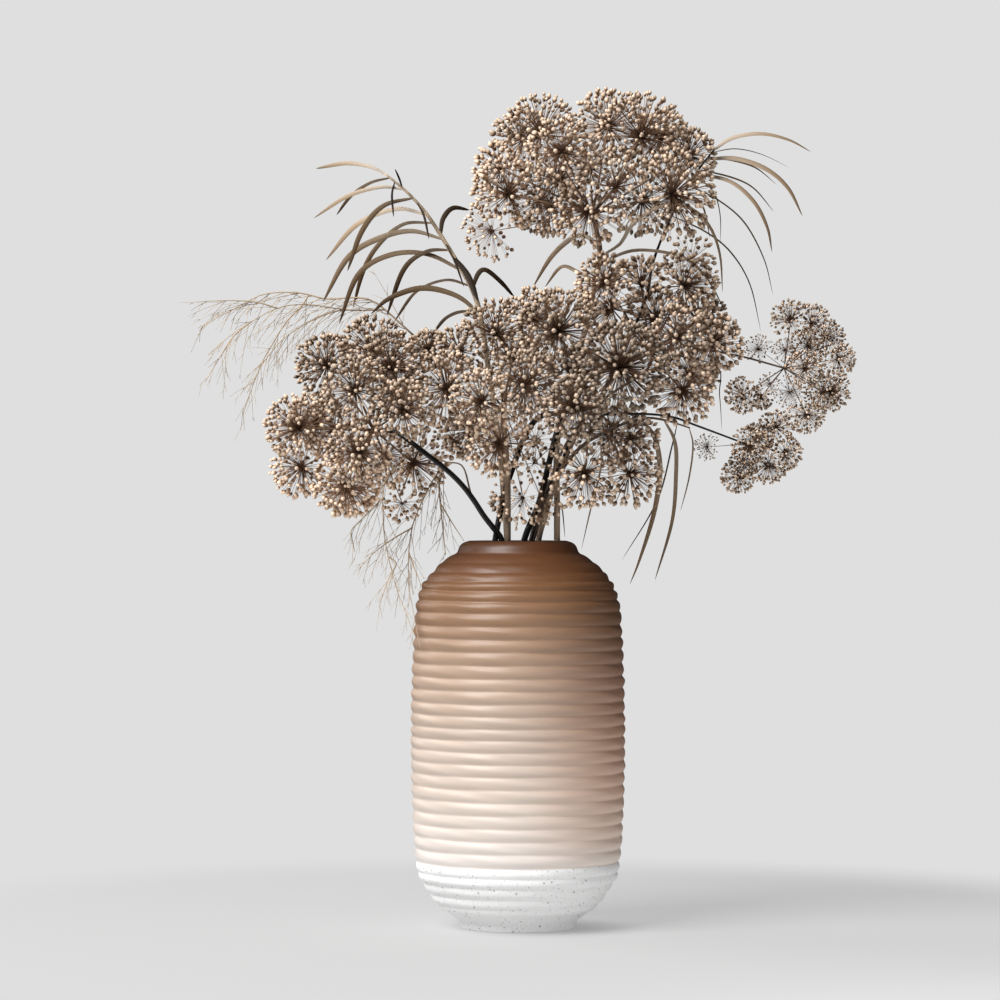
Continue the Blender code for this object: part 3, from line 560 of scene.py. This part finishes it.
def lengths(points):
    """Distance along the points from the first one to each."""
    total = [0]
    for a, b in zip(points, points[1:]):
        total.append(total[-1] + (b - a).length)
    return total


def along(points, share):
    """The point at this share, 0 to 1, of the way along straight runs between the points."""
    total = lengths(points)
    wanted = share * total[-1]
    for start, end, a, b in zip(total, total[1:], points, points[1:]):
        if wanted <= end:
            return a.lerp(b, (wanted - start) / max(end - start, 1e-9))
    return points[-1].copy()


def smooth(points, spans):
    """So many even spans along the smooth curve through the points."""
    padded = [2 * points[0] - points[1], *points, 2 * points[-1] - points[-2]]
    curve = []
    for a, b, c, d in zip(padded, padded[1:], padded[2:], padded[3:]):
        square = 2 * a - 5 * b + 4 * c - d
        cube = 3 * b - a - 3 * c + d
        for step in range(CURVE_STEPS):
            t = step / CURVE_STEPS
            curve.append(b + (c - a) * t / 2 + square * t**2 / 2 + cube * t**3 / 2)
    curve.append(points[-1].copy())
    return [along(curve, span / spans) for span in range(spans + 1)]


def share_at(outline, height):
    """How far up the outline a height lies, as a share of the outline's length."""
    total = lengths(outline)
    return np.interp(height, [point.z for point in outline], total) / total[-1]


def outer_radius(height):
    """The vase's radius over its ribs at a height, nothing below its foot or above its lip."""
    radii, heights = zip(*VASE_OUTLINE)
    return np.interp(height / MM, heights, radii, left=0, right=0) * MM


def stem_path(plant):
    """From just above the vase's floor, through its mouth, to the hub or the tip."""
    above = [at(*place) for place in plant.stem]
    mouth = above[0]
    foot = Vector((mouth.x * STEM_FLARE, mouth.y * STEM_FLARE, FLOOR_HEIGHT + STEM_GAP))
    neck = foot.lerp(mouth, NECK_SHARE)
    return [foot, *smooth([neck, *above], STEM_SPANS)]


def nearest_on(paths, target):
    """The point on the paths that lies nearest to the target as seen from the front."""
    best = None
    for path in paths:
        for a, b in zip(path, path[1:]):
            flat = [Vector((p.x, 0, p.z)) for p in (target, a, b)]
            share = min(max(intersect_point_line(*flat)[1], 0), 1)
            gap = (flat[0] - flat[1].lerp(flat[2], share)).length
            if best is None or gap < best[0]:
                best = (gap, a.lerp(b, share))
    return best[1]


def rooted(paths, places, tip_depth, spans):
    """A smooth path from its root on the given paths through the places, its depth running to the tip's."""
    root = nearest_on(paths, at(*places[0], paths[0][-1].y / MM))
    total = lengths([Vector(place) for place in places])
    start = root.y / MM
    depths = [start + (tip_depth - start) * length / total[-1] for length in total]
    points = [at(*place, depth) for place, depth in zip(places, depths)]
    return smooth([root, *points[1:]], spans)


def shown(name, data):
    """A new object in the scene."""
    made = bpy.data.objects.new(name, data)
    bpy.context.scene.collection.objects.link(made)
    return made


class Pile:
    """Gathers many small meshes into one, with two numbers on every point for its finish to use."""

    def __init__(self):
        self.points = []
        self.faces = []
        self.along = []
        self.tone = []
        self.count = 0

    def add(self, points, faces, along, tone):
        """Adds points, blocks of faces with equally many corners each, and the two numbers."""
        points = np.asarray(points, float).reshape(-1, 3)
        self.points.append(points)
        for block in faces:
            self.faces += (np.asarray(block) + self.count).tolist()
        self.along.append(np.broadcast_to(along, len(points)))
        self.tone.append(np.broadcast_to(tone, len(points)))
        self.count += len(points)

    def piece(self, name, node, slot, finishes):
        """The finished object, riding on the part and standing for one of its nodes."""
        mesh = bpy.data.meshes.new(name)
        mesh.from_pydata(np.concatenate(self.points).tolist(), [], self.faces, shade_flat=False)
        for kind in ("along", "tone"):
            values = np.concatenate(getattr(self, kind)).astype(np.float32)
            mesh.attributes.new(kind, "FLOAT", "POINT").data.foreach_set("value", values)
        for made in finishes:
            mesh.materials.append(made)
        made = shown(name, mesh)
        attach(made, "root")
        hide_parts(node)
        return made


def ring_quads(rings, sides):
    """Faces between rings of equally many points, each ring after the one before."""
    start = np.arange(rings - 1)[:, None] * sides
    here = np.arange(sides)
    after = (here + 1) % sides
    quads = np.stack([start + here, start + after, start + after + sides, start + here + sides], -1)
    return quads.reshape(-1, 4)


def end_faces(rings, sides):
    """The faces that close the first and the last ring."""
    here = np.arange(sides)
    return [here[::-1][None], (here + (rings - 1) * sides)[None]]


def turned(profile, sides):
    """Points of the rings round Z that pairs of height and radius give."""
    turns = np.arange(sides) * math.tau / sides
    return [(r * math.cos(t), r * math.sin(t), z) for z, r in profile for t in turns]


def spindle(profile, sides):
    """Points and faces of a unit body turned round Z, pointed at both ends."""
    rings = turned(profile[1:-1], sides)
    points = np.array([*rings, (0, 0, profile[0][0]), (0, 0, profile[-1][0])])
    last = len(rings) - sides
    here = np.arange(sides)
    after = (here + 1) % sides
    low = np.stack([np.full(sides, len(rings)), after, here], -1)
    high = np.stack([np.full(sides, len(rings) + 1), last + here, last + after], -1)
    return points, [ring_quads(len(profile) - 2, sides), low, high]


def open_tube(profile, sides):
    """Points and faces of a unit tube turned round Z, without ends."""
    return np.array(turned(profile, sides)), [ring_quads(len(profile), sides)]


def unit(rows):
    """Each row at length one."""
    return rows / np.linalg.norm(rows, axis=-1, keepdims=True)


def scattered(pile, body, bases, directions, long, wide, tones):
    """Adds a copy of a unit body at each base, turned along its direction, so long and so wide."""
    points, faces = body
    helper = np.where(np.abs(directions[:, 2:]) < STEEP, (0, 0, 1), (1, 0, 0))
    side = unit(np.cross(directions, helper))
    other = np.cross(directions, side)
    axes = np.stack([side * wide[:, None], other * wide[:, None], directions * long[:, None]], 1)
    placed = bases[:, None] + points @ axes
    shift = np.arange(len(bases))[:, None, None] * len(points)
    blocks = [(block[None] + shift).reshape(-1, block.shape[1]) for block in faces]
    pile.add(placed, blocks, np.tile(points[:, 2], len(bases)), np.repeat(tones, len(points)))


def swept(pile, path, across, up, section, scales, along, tone):
    """Adds a closed body: the section's (across, up) pairs, scaled ring by ring, swept along the path."""
    rings = []
    for point, a, b, scale in zip(path, across, up, scales):
        rings += [point + a * x * scale + b * y * scale for x, y in section]
    sides = len(section)
    faces = [ring_quads(len(path), sides), *end_faces(len(path), sides)]
    pile.add([tuple(p) for p in rings], faces, np.repeat(along, sides), tone)


def aheads(path):
    """The direction of the path at each of its points."""
    last = len(path) - 1
    return [(path[min(i + 1, last)] - path[max(i - 1, 0)]).normalized() for i in range(len(path))]


def tube(pile, path, radii, sides, tone):
    """Adds a closed tube, its radius running evenly through the given ones."""
    ahead = aheads(path)
    side = ahead[0].orthogonal().normalized()
    across = []
    for way in ahead:
        side = (side - side.project(way)).normalized()
        across.append(side)
    up = [way.cross(side) for way, side in zip(ahead, across)]
    shares = np.linspace(0, 1, len(path))
    scales = np.interp(shares, np.linspace(0, 1, len(radii)), radii)
    circle = [point[:2] for point in turned([(0, 1)], sides)]
    swept(pile, path, across, up, circle, scales, shares, tone)


def blade(pile, path, width, shape, twist, tone):
    """Adds a long leaf, hollow along its upper face, that narrows to its root and to its tip."""
    shares = np.linspace(0, 1, len(path))
    across = []
    up = []
    for way, share in zip(aheads(path), shares):
        side = way.cross(LEAF_FACING).normalized()
        side.rotate(Quaternion(way, twist * share))
        across.append(side)
        up.append(side.cross(way))
    fullness = width * (THIN_LEAF_SHARE if width < THIN_LEAF else 1)
    scales = fullness * np.interp(shares, *zip(*shape))
    # Painted shade: the points under the leaf's middle get a darker tone than its top
    tones = np.tile([tone if rise >= 0 else tone * UNDERSIDE_PAINTED_SHADE for _, rise in LEAF_SECTION], len(path))
    swept(pile, path, across, up, LEAF_SECTION, scales, shares, tones)


def fibonacci(count, seed):
    """Evenly spread directions in a turn of their own, each a little off its place."""
    rng = np.random.default_rng(random.Random(seed).getrandbits(SEED_BITS))
    i = np.arange(count)
    height = 1 - 2 * (i + 0.5) / count
    ring = np.sqrt(1 - height**2)
    turn = math.pi * (3 - math.sqrt(5)) * i
    even = np.stack([ring * np.cos(turn), ring * np.sin(turn), height], -1)
    basis, _ = np.linalg.qr(rng.normal(size=(3, 3)))
    return unit(even @ basis + rng.normal(size=(count, 3)) * TURN_JITTER), rng


def clear_of(points, obstacles, room):
    """Which points are outside all the obstacles, each a place and a radius, with this much room."""
    gaps = np.linalg.norm(points[:, None] - obstacles[None, :, :3], axis=-1)
    return (gaps > obstacles[None, :, 3] + room).all(axis=1)


def globe_of_buds(buds, stalks, seed, globe, hub, obstacles, siblings, look, shade=0, share=1):
    """Adds one globe: a knob, thin stalks from it and a bud on each, where there is room."""
    centre, radius = globe[:3], globe[3]
    directions, rng = fibonacci(round(look.each_mm * radius / MM * share), seed)
    inward = unit(hub - centre)
    toward = directions @ inward
    count = len(directions)
    keep = (toward < HUB_COSINE) & (rng.random(count) > HUB_THINNING * np.clip(toward, 0, 1))
    short = rng.random(count) < SHORT_SHARE
    reach = radius * np.where(short, rng.uniform(*SHORT_TIP_SHARES, count), rng.uniform(*TIP_SHARES, count))
    sizes = rng.uniform(*BUD_SIZES, count)
    long = look.bud_length * sizes
    apart = np.linalg.norm(obstacles[:, :3] - centre, axis=1)
    near = obstacles[apart < obstacles[:, 3] + radius * NEAR_SHARE]
    for share in STALK_CHECKS:
        keep &= clear_of(centre + directions * (reach * share)[:, None], near, BUD_ROOM)
    middles = centre + directions * (reach - long / 2)[:, None]
    keep &= clear_of(middles, near, look.bud_radius) & clear_of(middles, siblings, 0)
    directions, reach, sizes, long = directions[keep], reach[keep], sizes[keep], long[keep]
    count = len(directions)
    # shade lifts or darkens this globe's buds as painted light and shade, and its stalks take the same
    # tones
    tones = rng.normal(MIDDLE_TONE + shade, BUD_TONE_SPREAD, count) + rng.normal(0, GLOBE_TONE_SPREAD)
    tones = np.clip(tones, 0, 1)
    bases = centre + directions * (reach - long)[:, None]
    leans = unit(directions + rng.normal(size=(count, 3)) * BUD_LEAN)
    scattered(buds, BUD, bases, leans, long, look.bud_radius * sizes, tones)
    width = np.full(count, look.stalk_radius)
    start = np.broadcast_to(centre, (count, 3))
    scattered(stalks, STALK, start, directions, reach - long * STALK_INTO_BUD, width, tones)
    knob = np.array([radius * KNOB_SHARE])
    scattered(stalks, KNOB, centre[None], -inward[None], knob, knob, np.array([0]))


def side_twigs(pile, strand, radius, look, level, draw):
    """Adds fine twigs to alternate sides of a strand, and finer ones to those."""
    total = lengths(strand)[-1]
    count = max(1, round(total / look.spacing[level]))
    plane = TWIG_PLANE.normalized()
    for i in range(count):
        share = (i + draw.uniform(*TWIG_PLACES)) / count
        base = along(strand, share)
        before = along(strand, max(share - STRAND_LOOK, 0))
        ahead = (along(strand, min(share + STRAND_LOOK, 1)) - before).normalized()
        aside = ahead.cross(plane).normalized() * (1 if (i + level) % 2 else -1)
        if aside.z > UPWARD and draw.random() > UPWARD_SHARE:
            aside.negate()
        aside.rotate(Quaternion(ahead, draw.uniform(*TWIG_TURN)))
        lean = (ahead + aside * math.tan(draw.uniform(*look.angles))).normalized()
        length = draw.uniform(*look.twig_lengths[level]) * (TWIG_FALL - share)
        steps = [step / TWIG_SPANS for step in range(TWIG_SPANS + 1)]
        twig = [base + (lean * step + TWIG_SAG * step**2) * length for step in steps]
        if abs(twig[-1].x) < outer_radius(twig[-1].z) - VASE_MARGIN:
            continue
        tube(pile, twig, [radius * share for share in TWIG_RADII], TWIG_SIDES, draw.random())
        if level + 1 < len(look.spacing):
            side_twigs(pile, twig, radius * NEXT_TWIG_SHARE, look, level + 1, draw)


BUD = spindle(BUD_PROFILE, BUD_SIDES)
KNOB = spindle(KNOB_PROFILE, KNOB_SIDES)
STALK = open_tube(STALK_PROFILE, STALK_SIDES)


def places_on(path, radius):
    """Places spaced along a path, each with the path's radius."""
    total = lengths(path)
    wanted = np.linspace(0, total[-1], math.ceil(total[-1] / PLACE_SPACING) + 1)
    flat = np.array([tuple(point) for point in path])
    spaced = [np.interp(wanted, total, flat[:, axis]) for axis in range(3)]
    return np.stack([*spaced, np.full(len(wanted), radius)], -1)


def laid_out():
    """Every plant's paths and globes, and the places that its stem, rays and leaves take up."""
    layout = {}
    for name, plant in PLANTS.items():
        stem = stem_path(plant)
        globes = plant.globes + plant.sparse
        balls = np.array([(*at(*globe[:3]), globe[3] * MM) for globe in globes]).reshape(-1, 4)
        rays = [[stem[-1], Vector(ball[:3])] for ball in balls]
        leaves = []
        for tip_depth, width, shade, *places in plant.leaves:
            leaves.append((rooted([stem], places, tip_depth, LEAF_SPANS), width * MM, shade))
        strands = []
        for tip_depth, *places in plant.strands:
            strands.append(rooted([*strands, stem], places, tip_depth, STRAND_SPANS))
        taken = [places_on(stem, plant.radius * MM)]
        taken += [places_on(path, width * LEAF_ROOM) for path, width, _ in leaves]
        layout[name] = {
            "stem": stem, "balls": balls, "rays": rays, "leaves": leaves, "strands": strands,
            "taken": np.concatenate(taken),
            "ray_places": [places_on(ray, RAY_RADIUS[0]) for ray in rays],
        }
    return layout


def add_head(name, layout, finishes):
    """The globes of one head, as a piece of buds and a piece of stalks, rays and hub."""
    plant = PLANTS[name]
    here = layout[name]
    hub = np.array(here["stem"][-1])
    thin = plant.radius * MM < THIN_STEM_RADIUS
    buds, stalks = Pile(), Pile()
    taken = [there["taken"] for there in layout.values()]
    for other, there in layout.items():
        if other != name:
            taken += [*there["ray_places"], there["balls"] * (1, 1, 1, INSIDE_SHARE)]
    for i, (ball, globe) in enumerate(zip(here["balls"], plant.globes + plant.sparse)):
        siblings = np.delete(here["balls"], i, axis=0) * (1, 1, 1, INSIDE_SHARE)
        rays = [places for k, places in enumerate(here["ray_places"]) if k != i]
        obstacles = np.concatenate([*taken, *rays])
        look = plant.buds[i >= len(plant.globes)]
        globe_of_buds(buds, stalks, f"{name}{i}", ball, hub, obstacles, siblings, look, *globe[4:])
    for i, ray in enumerate(here["rays"]):
        share = 1 if i < len(plant.globes) else SPARSE_RAY_SHARE
        radii = [radius * share for radius in (THIN_RAY_RADIUS if thin else RAY_RADIUS)]
        places = [ray[0].lerp(ray[1], place) for place in RAY_PLACES]
        tube(stalks, places, radii, RAY_SIDES, RAY_TONE)
    size = np.array([THIN_HUB_RADIUS if thin else HUB_RADIUS])
    way = np.array(aheads(here["stem"])[-1])[None]
    scattered(stalks, KNOB, hub[None], way, size, size, np.array([0]))
    buds.piece(name + "_buds", name, "umbel", [finishes["bud"]])
    stalks.piece(name + "_stalks", name, "umbel", [finishes["stalk"]])


def add_plant(name, layout, finishes):
    """One plant as its pieces: stem, leaves, strands, buds and stalks."""
    plant = PLANTS[name]
    here = layout[name]
    slot = name.split("_")[0]
    stem = Pile()
    radii = [plant.radius * MM * share for share in plant.shape]
    tube(stem, here["stem"], radii, STEM_SIDES, MIDDLE_TONE)
    stem.piece(name + "_stem", name, slot, [finishes[plant.look]])
    draw = random.Random(name)
    if here["leaves"]:
        leaves = Pile()
        outline = LEAF_SHAPE if name == "leaves_upper_left" else SLIM_LEAF_SHAPE
        # Each leaf's shade is partly its own colour and partly painted shade where it faces away from the
        # light
        for path, width, shade in here["leaves"]:
            blade(leaves, path, width, outline, draw.uniform(*LEAF_TWIST), shade)
        made = leaves.piece(name + "_leaves", name, slot, [finishes["leaf"]])
        made.data.set_sharp_from_angle(angle=SHARP_ANGLE)
    if here["strands"]:
        strands = Pile()
        for i, strand in enumerate(here["strands"]):
            radii = [radius * (BRANCH_SHARE if i else 1) for radius in STRAND_RADIUS]
            tube(strands, strand, radii, STRAND_SIDES, MIDDLE_TONE)
            side_twigs(strands, strand, sum(radii) / 2, plant.wisps, 0, draw)
        strands.piece(name + "_strands", name, slot, [finishes["grass"]])
    if plant.globes:
        add_head(name, layout, finishes)


def in_section(pairs):
    """Points of the vase's section from pairs of radius and height in millimetres."""
    return [Vector((r * MM, 0, z * MM)) for r, z in pairs]


def vase_profile():
    """The vase's section: its foot, up its ribs, over the lip and down its bore."""
    curve = smooth(in_section(VASE_OUTLINE), OUTLINE_STEPS)
    stations = [share_at(curve, height * MM) for height in GROOVE_HEIGHTS]
    deep = np.interp(GROOVE_HEIGHTS, *zip(*GROOVE_DEPTHS))
    shares = list(np.linspace(0, stations[0], FOOT_STEPS)[:-1])
    depths = [deep[0] * (1 - math.cos(math.pi / 2 * share / stations[0])) for share in shares]
    for groove, following, reach in zip(stations, [*stations[1:], 1], deep):
        for step in range(RIB_STEPS):
            phase = step / RIB_STEPS
            shares.append(groove + (following - groove) * phase)
            turn = min(phase, 0.5) if following == 1 else phase
            depths.append(reach * (1 - math.sin(math.pi * turn)))
    profile = []
    for share, depth in zip(shares, depths):
        before = along(curve, max(share - PROFILE_LOOK, 0))
        after = along(curve, min(share + PROFILE_LOOK, 1))
        inward = (after - before).cross(Vector((0, 1, 0))).normalized()
        profile.append(along(curve, share) + inward * depth)
    return [*in_section(VASE_FOOT), *profile, *smooth(in_section(VASE_BORE), BORE_STEPS)]


def uneven(place, turn):
    """A point of the vase at this turn, its radius and height a little off as on a hand-thrown pot."""
    off = sum(size * math.sin(count * turn + place.z / MM * rate) for count, rate, size in WAVES)
    radius = place.x + off * min(place.x / VASE_WALL_RADIUS, 1)
    grown = min(place.z / VASE_HEIGHT * WAVE_GROWTH, 1) if place.z < WAVE_TOP else 0
    height = place.z + off * grown
    return radius * math.cos(turn), radius * math.sin(turn), height


def add_vase(glaze, clay):
    """The vase, turned from its section, glazed above the clay of its foot."""
    profile = vase_profile()
    turns = np.arange(VASE_SIDES) * math.tau / VASE_SIDES
    rings = [uneven(place, turn) for place in profile for turn in turns]
    pile = Pile()
    faces = [ring_quads(len(profile), VASE_SIDES), *end_faces(len(profile), VASE_SIDES)]
    pile.add(rings, faces, 0, 0)
    pot = pile.piece("vase_body", "vase", "vase", (glaze, clay))
    crests = max(range(len(profile)), key=lambda i: profile[i].z)
    bare = [profile[k].z < GLAZE_EDGE and k < crests for k in range(len(profile) - 1)]
    marks = np.append(np.repeat(bare, VASE_SIDES), [True, False])
    pot.data.polygons.foreach_set("material_index", marks.astype(np.int32))


def fill(tree, made, values):
    """Gives a node's inputs, by name or number, a constant, a colour or another node's output."""
    for place, value in values.items():
        socket = made.inputs[place]
        if isinstance(value, bpy.types.NodeSocket):
            tree.links.new(value, socket)
        elif socket.type == "RGBA":
            socket.default_value = (*value, 1)
        else:
            socket.default_value = value
    return made


def node(tree, kind, values):
    """A new node with these inputs."""
    return fill(tree, tree.nodes.new(kind), values)


def finish(name, roughness, sheen=0.5):
    """A new material with its shader and node tree."""
    made = bpy.data.materials.new(name)
    made.use_nodes = True
    tree = made.node_tree
    values = {"Roughness": roughness, "Specular IOR Level": sheen}
    shader = fill(tree, tree.nodes["Principled BSDF"], values)
    return made, shader, tree


def position(tree):
    """Where the surface is in the object's own coordinates."""
    return node(tree, "ShaderNodeTexCoord", {}).outputs["Object"]


def noise(tree, scale, detail, stretch):
    """A noise in the object's own coordinates, its scale multiplied along X, Y and Z."""
    mapping = node(tree, "ShaderNodeMapping", {"Vector": position(tree), "Scale": stretch})
    values = {"Vector": mapping.outputs["Vector"], "Scale": scale, "Detail": detail}
    return node(tree, "ShaderNodeTexNoise", values).outputs["Fac"]


def place_along(tree, axis):
    """Where the surface is along X, Y or Z in the object's own coordinates."""
    return node(tree, "ShaderNodeSeparateXYZ", {"Vector": position(tree)}).outputs[axis]


def ramp(tree, factor, stops):
    """A colour or a grey that runs through the stops, each a place and its value, as the factor grows."""
    made = node(tree, "ShaderNodeValToRGB", {"Fac": factor})
    elements = made.color_ramp.elements
    elements[0].position, elements[1].position = stops[0][0], stops[-1][0]
    for place, _ in stops[1:-1]:
        elements.new(place)
    for element, (_, colour) in zip(elements, stops):
        element.color = (*colour, 1) if isinstance(colour, tuple) else (colour, colour, colour, 1)
    return made.outputs["Color"]


def worked(tree, operation, first, second):
    """The result of a sum with two numbers."""
    made = tree.nodes.new("ShaderNodeMath")
    made.operation = operation
    return fill(tree, made, {0: first, 1: second}).outputs[0]


def mixed(tree, first, second, factor=1, kind="MULTIPLY"):
    """Two colours multiplied, or put together in another way."""
    made = tree.nodes.new("ShaderNodeMix")
    made.data_type = "RGBA"
    made.blend_type = kind
    return fill(tree, made, {0: factor, MIX_FIRST: first, MIX_SECOND: second}).outputs[MIX_RESULT]


def number(tree, kind):
    """One of the numbers that a Pile keeps on every point."""
    made = tree.nodes.new("ShaderNodeAttribute")
    made.attribute_name = kind
    return made.outputs["Fac"]


def glaze_finish():
    """A satin glaze from dark brown at the lip to pale cream at its lower edge, with painted shade towards
    +X.
    """
    made, shader, tree = finish("glaze", GLAZE_ROUGHNESS, GLAZE_SHEEN)
    wobble = worked(tree, "ADD", noise(tree, *WOBBLE_NOISE), -0.5)
    height = worked(tree, "ADD", place_along(tree, "Z"), worked(tree, "MULTIPLY", wobble, GLAZE_WOBBLE))
    share = worked(tree, "DIVIDE", height, VASE_HEIGHT)
    pale, deep = (ramp(tree, share, [(row[0] * MM / VASE_HEIGHT, row[tone]) for row in GLAZE_STOPS])
                  for tone in (1, 2))
    # Painted shade: the glaze turns browner and darker towards +X, away from the key light
    side = worked(tree, "SUBTRACT", place_along(tree, "X"), PAINTED_SHADE_FROM)
    side = worked(tree, "DIVIDE", side, PAINTED_SHADE_TO - PAINTED_SHADE_FROM)
    streak = ramp(tree, noise(tree, *STREAK_NOISE), STREAKS)
    colour = mixed(tree, mixed(tree, pale, deep, side, "MIX"), streak)
    bump = node(tree, "ShaderNodeBump", {**GLAZE_BUMP, "Height": noise(tree, *BUMP_NOISE)})
    fill(tree, shader, {**GLAZE_COAT, "Base Color": colour, "Normal": bump.outputs["Normal"]})
    return made


def clay_finish():
    """Bare white clay with fine grey specks and a few larger ones."""
    made, shader, tree = finish("clay", CLAY_ROUGHNESS)
    fine = ramp(tree, noise(tree, *SPECK_NOISE), SPECKS)
    large = ramp(tree, noise(tree, *SPOT_NOISE), SPOTS)
    marks = mixed(tree, fine, large)
    fill(tree, shader, {"Base Color": mixed(tree, CLAY_COLOUR, marks)})
    return made


def toned(name, roughness, sheen, stops, tone_stops):
    """A finish whose colour runs along each piece and varies from piece to piece."""
    made, shader, tree = finish(name, roughness, sheen)
    colour = ramp(tree, number(tree, "along"), stops)
    tone = ramp(tree, number(tree, "tone"), tone_stops)
    fill(tree, shader, {"Base Color": mixed(tree, colour, tone)})
    return made


def plain(name, roughness, colour):
    """A finish of one colour with a little unevenness lengthways."""
    made, shader, tree = finish(name, roughness)
    grain = ramp(tree, noise(tree, *GRAIN_NOISE), GRAIN)
    fill(tree, shader, {"Base Color": mixed(tree, colour, grain)})
    return made


def faded(tree, operation, values, reach, ends):
    """A number that runs softly between two ends as a length in the floor's plane grows."""
    length = tree.nodes.new("ShaderNodeVectorMath")
    length.operation = operation
    fill(tree, length, values)
    fade = tree.nodes.new("ShaderNodeMapRange")
    fade.interpolation_type = "SMOOTHSTEP"
    limits = {"From Min": reach[0], "From Max": reach[1], "To Min": ends[0], "To Max": ends[1]}
    return fill(tree, fade, {"Value": length.outputs["Value"], **limits}).outputs["Result"]


def add_stage():
    """A pale floor that takes the shadows, its glow dimmed round the vase's foot as a painted shadow, in a
    glowing bowl that only the camera sees.
    """
    floor = bpy.data.materials.new("floor")
    bowl = bpy.data.materials.new("bowl")
    for made in (floor, bowl):
        made.use_nodes = True
        made.node_tree.nodes.clear()
    tree = bowl.node_tree
    glow = node(tree, "ShaderNodeEmission", {"Color": BACKDROP})
    node(tree, "ShaderNodeOutputMaterial", {"Surface": glow.outputs[0]})
    tree = floor.node_tree
    glow = node(tree, "ShaderNodeEmission", {"Color": BACKDROP})
    matt = node(tree, "ShaderNodeBsdfDiffuse", {"Color": FLOOR_COLOUR})
    # Painted shadow: the floor's glow is dimmed round the vase's foot
    contact = {0: position(tree), 1: PAINTED_SHADOW_CENTRE}
    dark = faded(tree, "DISTANCE", contact, PAINTED_SHADOW_REACH, (FLOOR_GLOW * PAINTED_SHADOW_GLOW, FLOOR_GLOW))
    lift = node(tree, "ShaderNodeEmission", {"Strength": dark})
    both = node(tree, "ShaderNodeAddShader", {0: matt.outputs[0], 1: lift.outputs[0]})
    fade = faded(tree, "LENGTH", {0: position(tree)}, FLOOR_FADE, (0, 1))
    mix = node(tree, "ShaderNodeMixShader", {"Fac": fade, 1: both.outputs[0], 2: glow.outputs[0]})
    node(tree, "ShaderNodeOutputMaterial", {"Surface": mix.outputs[0]})
    arc = [(BOWL_BEND * (1 - math.cos(t)), BOWL_RADIUS + BOWL_BEND * math.sin(t))
           for t in np.linspace(0, math.pi / 2, BOWL_STEPS)]
    outlines = {
        "stage_floor": (floor, [(0, FLOOR_CENTRE), (0, FLOOR_RADIUS)]),
        "stage_bowl": (bowl, [(0, FLOOR_RADIUS), *arc, (BOWL_HEIGHT, arc[-1][1])]),
    }
    for name, (material, outline) in outlines.items():
        mesh = bpy.data.meshes.new(name)
        mesh.from_pydata(turned(outline, STAGE_SIDES), [], ring_quads(len(outline), STAGE_SIDES).tolist())
        mesh.materials.append(material)
        made = shown(name, mesh)
    made.visible_diffuse = False
    made.visible_glossy = False
    made.visible_transmission = False
    made.visible_shadow = False


def add_light(name, azimuth, elevation, distance, size, power, height):
    """A soft square light that shines on the vase's axis from an azimuth and elevation in degrees."""
    data = bpy.data.lights.new(name, "AREA")
    data.size = size
    data.energy = power
    made = shown(name, data)
    turn, lift = math.radians(azimuth), math.radians(elevation)
    back = Vector((math.sin(turn) * math.cos(lift), -math.cos(turn) * math.cos(lift), math.sin(lift)))
    made.location = Vector((0, 0, height)) + back * distance
    made.rotation_mode = "QUATERNION"
    made.rotation_quaternion = (-back).to_track_quat("-Z", "Y")
    made.visible_camera = False
    made.visible_glossy = name != "fill"


def add_camera():
    """The camera, level, where the front view is seen from."""
    data = bpy.data.cameras.new("camera")
    data.lens = LENS
    data.sensor_width = SENSOR_WIDTH
    data.clip_end = SIGHT
    made = shown("camera", data)
    made.location = (EYE_X, -EYE_DISTANCE, EYE_HEIGHT)
    made.rotation_euler = (math.pi / 2, 0, 0)
    bpy.context.scene.camera = made


def add_surroundings():
    """Stage, camera, lights and dim surroundings."""
    add_stage()
    add_camera()
    for name, light in LIGHTS.items():
        add_light(name, *light)
    world = bpy.data.worlds.new("surroundings")
    world.use_nodes = True
    fill(world.node_tree, world.node_tree.nodes["Background"], {"Color": (1, 1, 1), "Strength": AMBIENT})
    bpy.context.scene.world = world
    bpy.context.scene.view_settings.view_transform = "Standard"


def main():
    finishes = {name: toned(name, *look) for name, look in TONED.items()}
    finishes.update({name: plain(name, *look) for name, look in PLAIN.items()})
    add_vase(glaze_finish(), clay_finish())
    layout = laid_out()
    for name in layout:
        add_plant(name, layout, finishes)
    add_surroundings()


main()
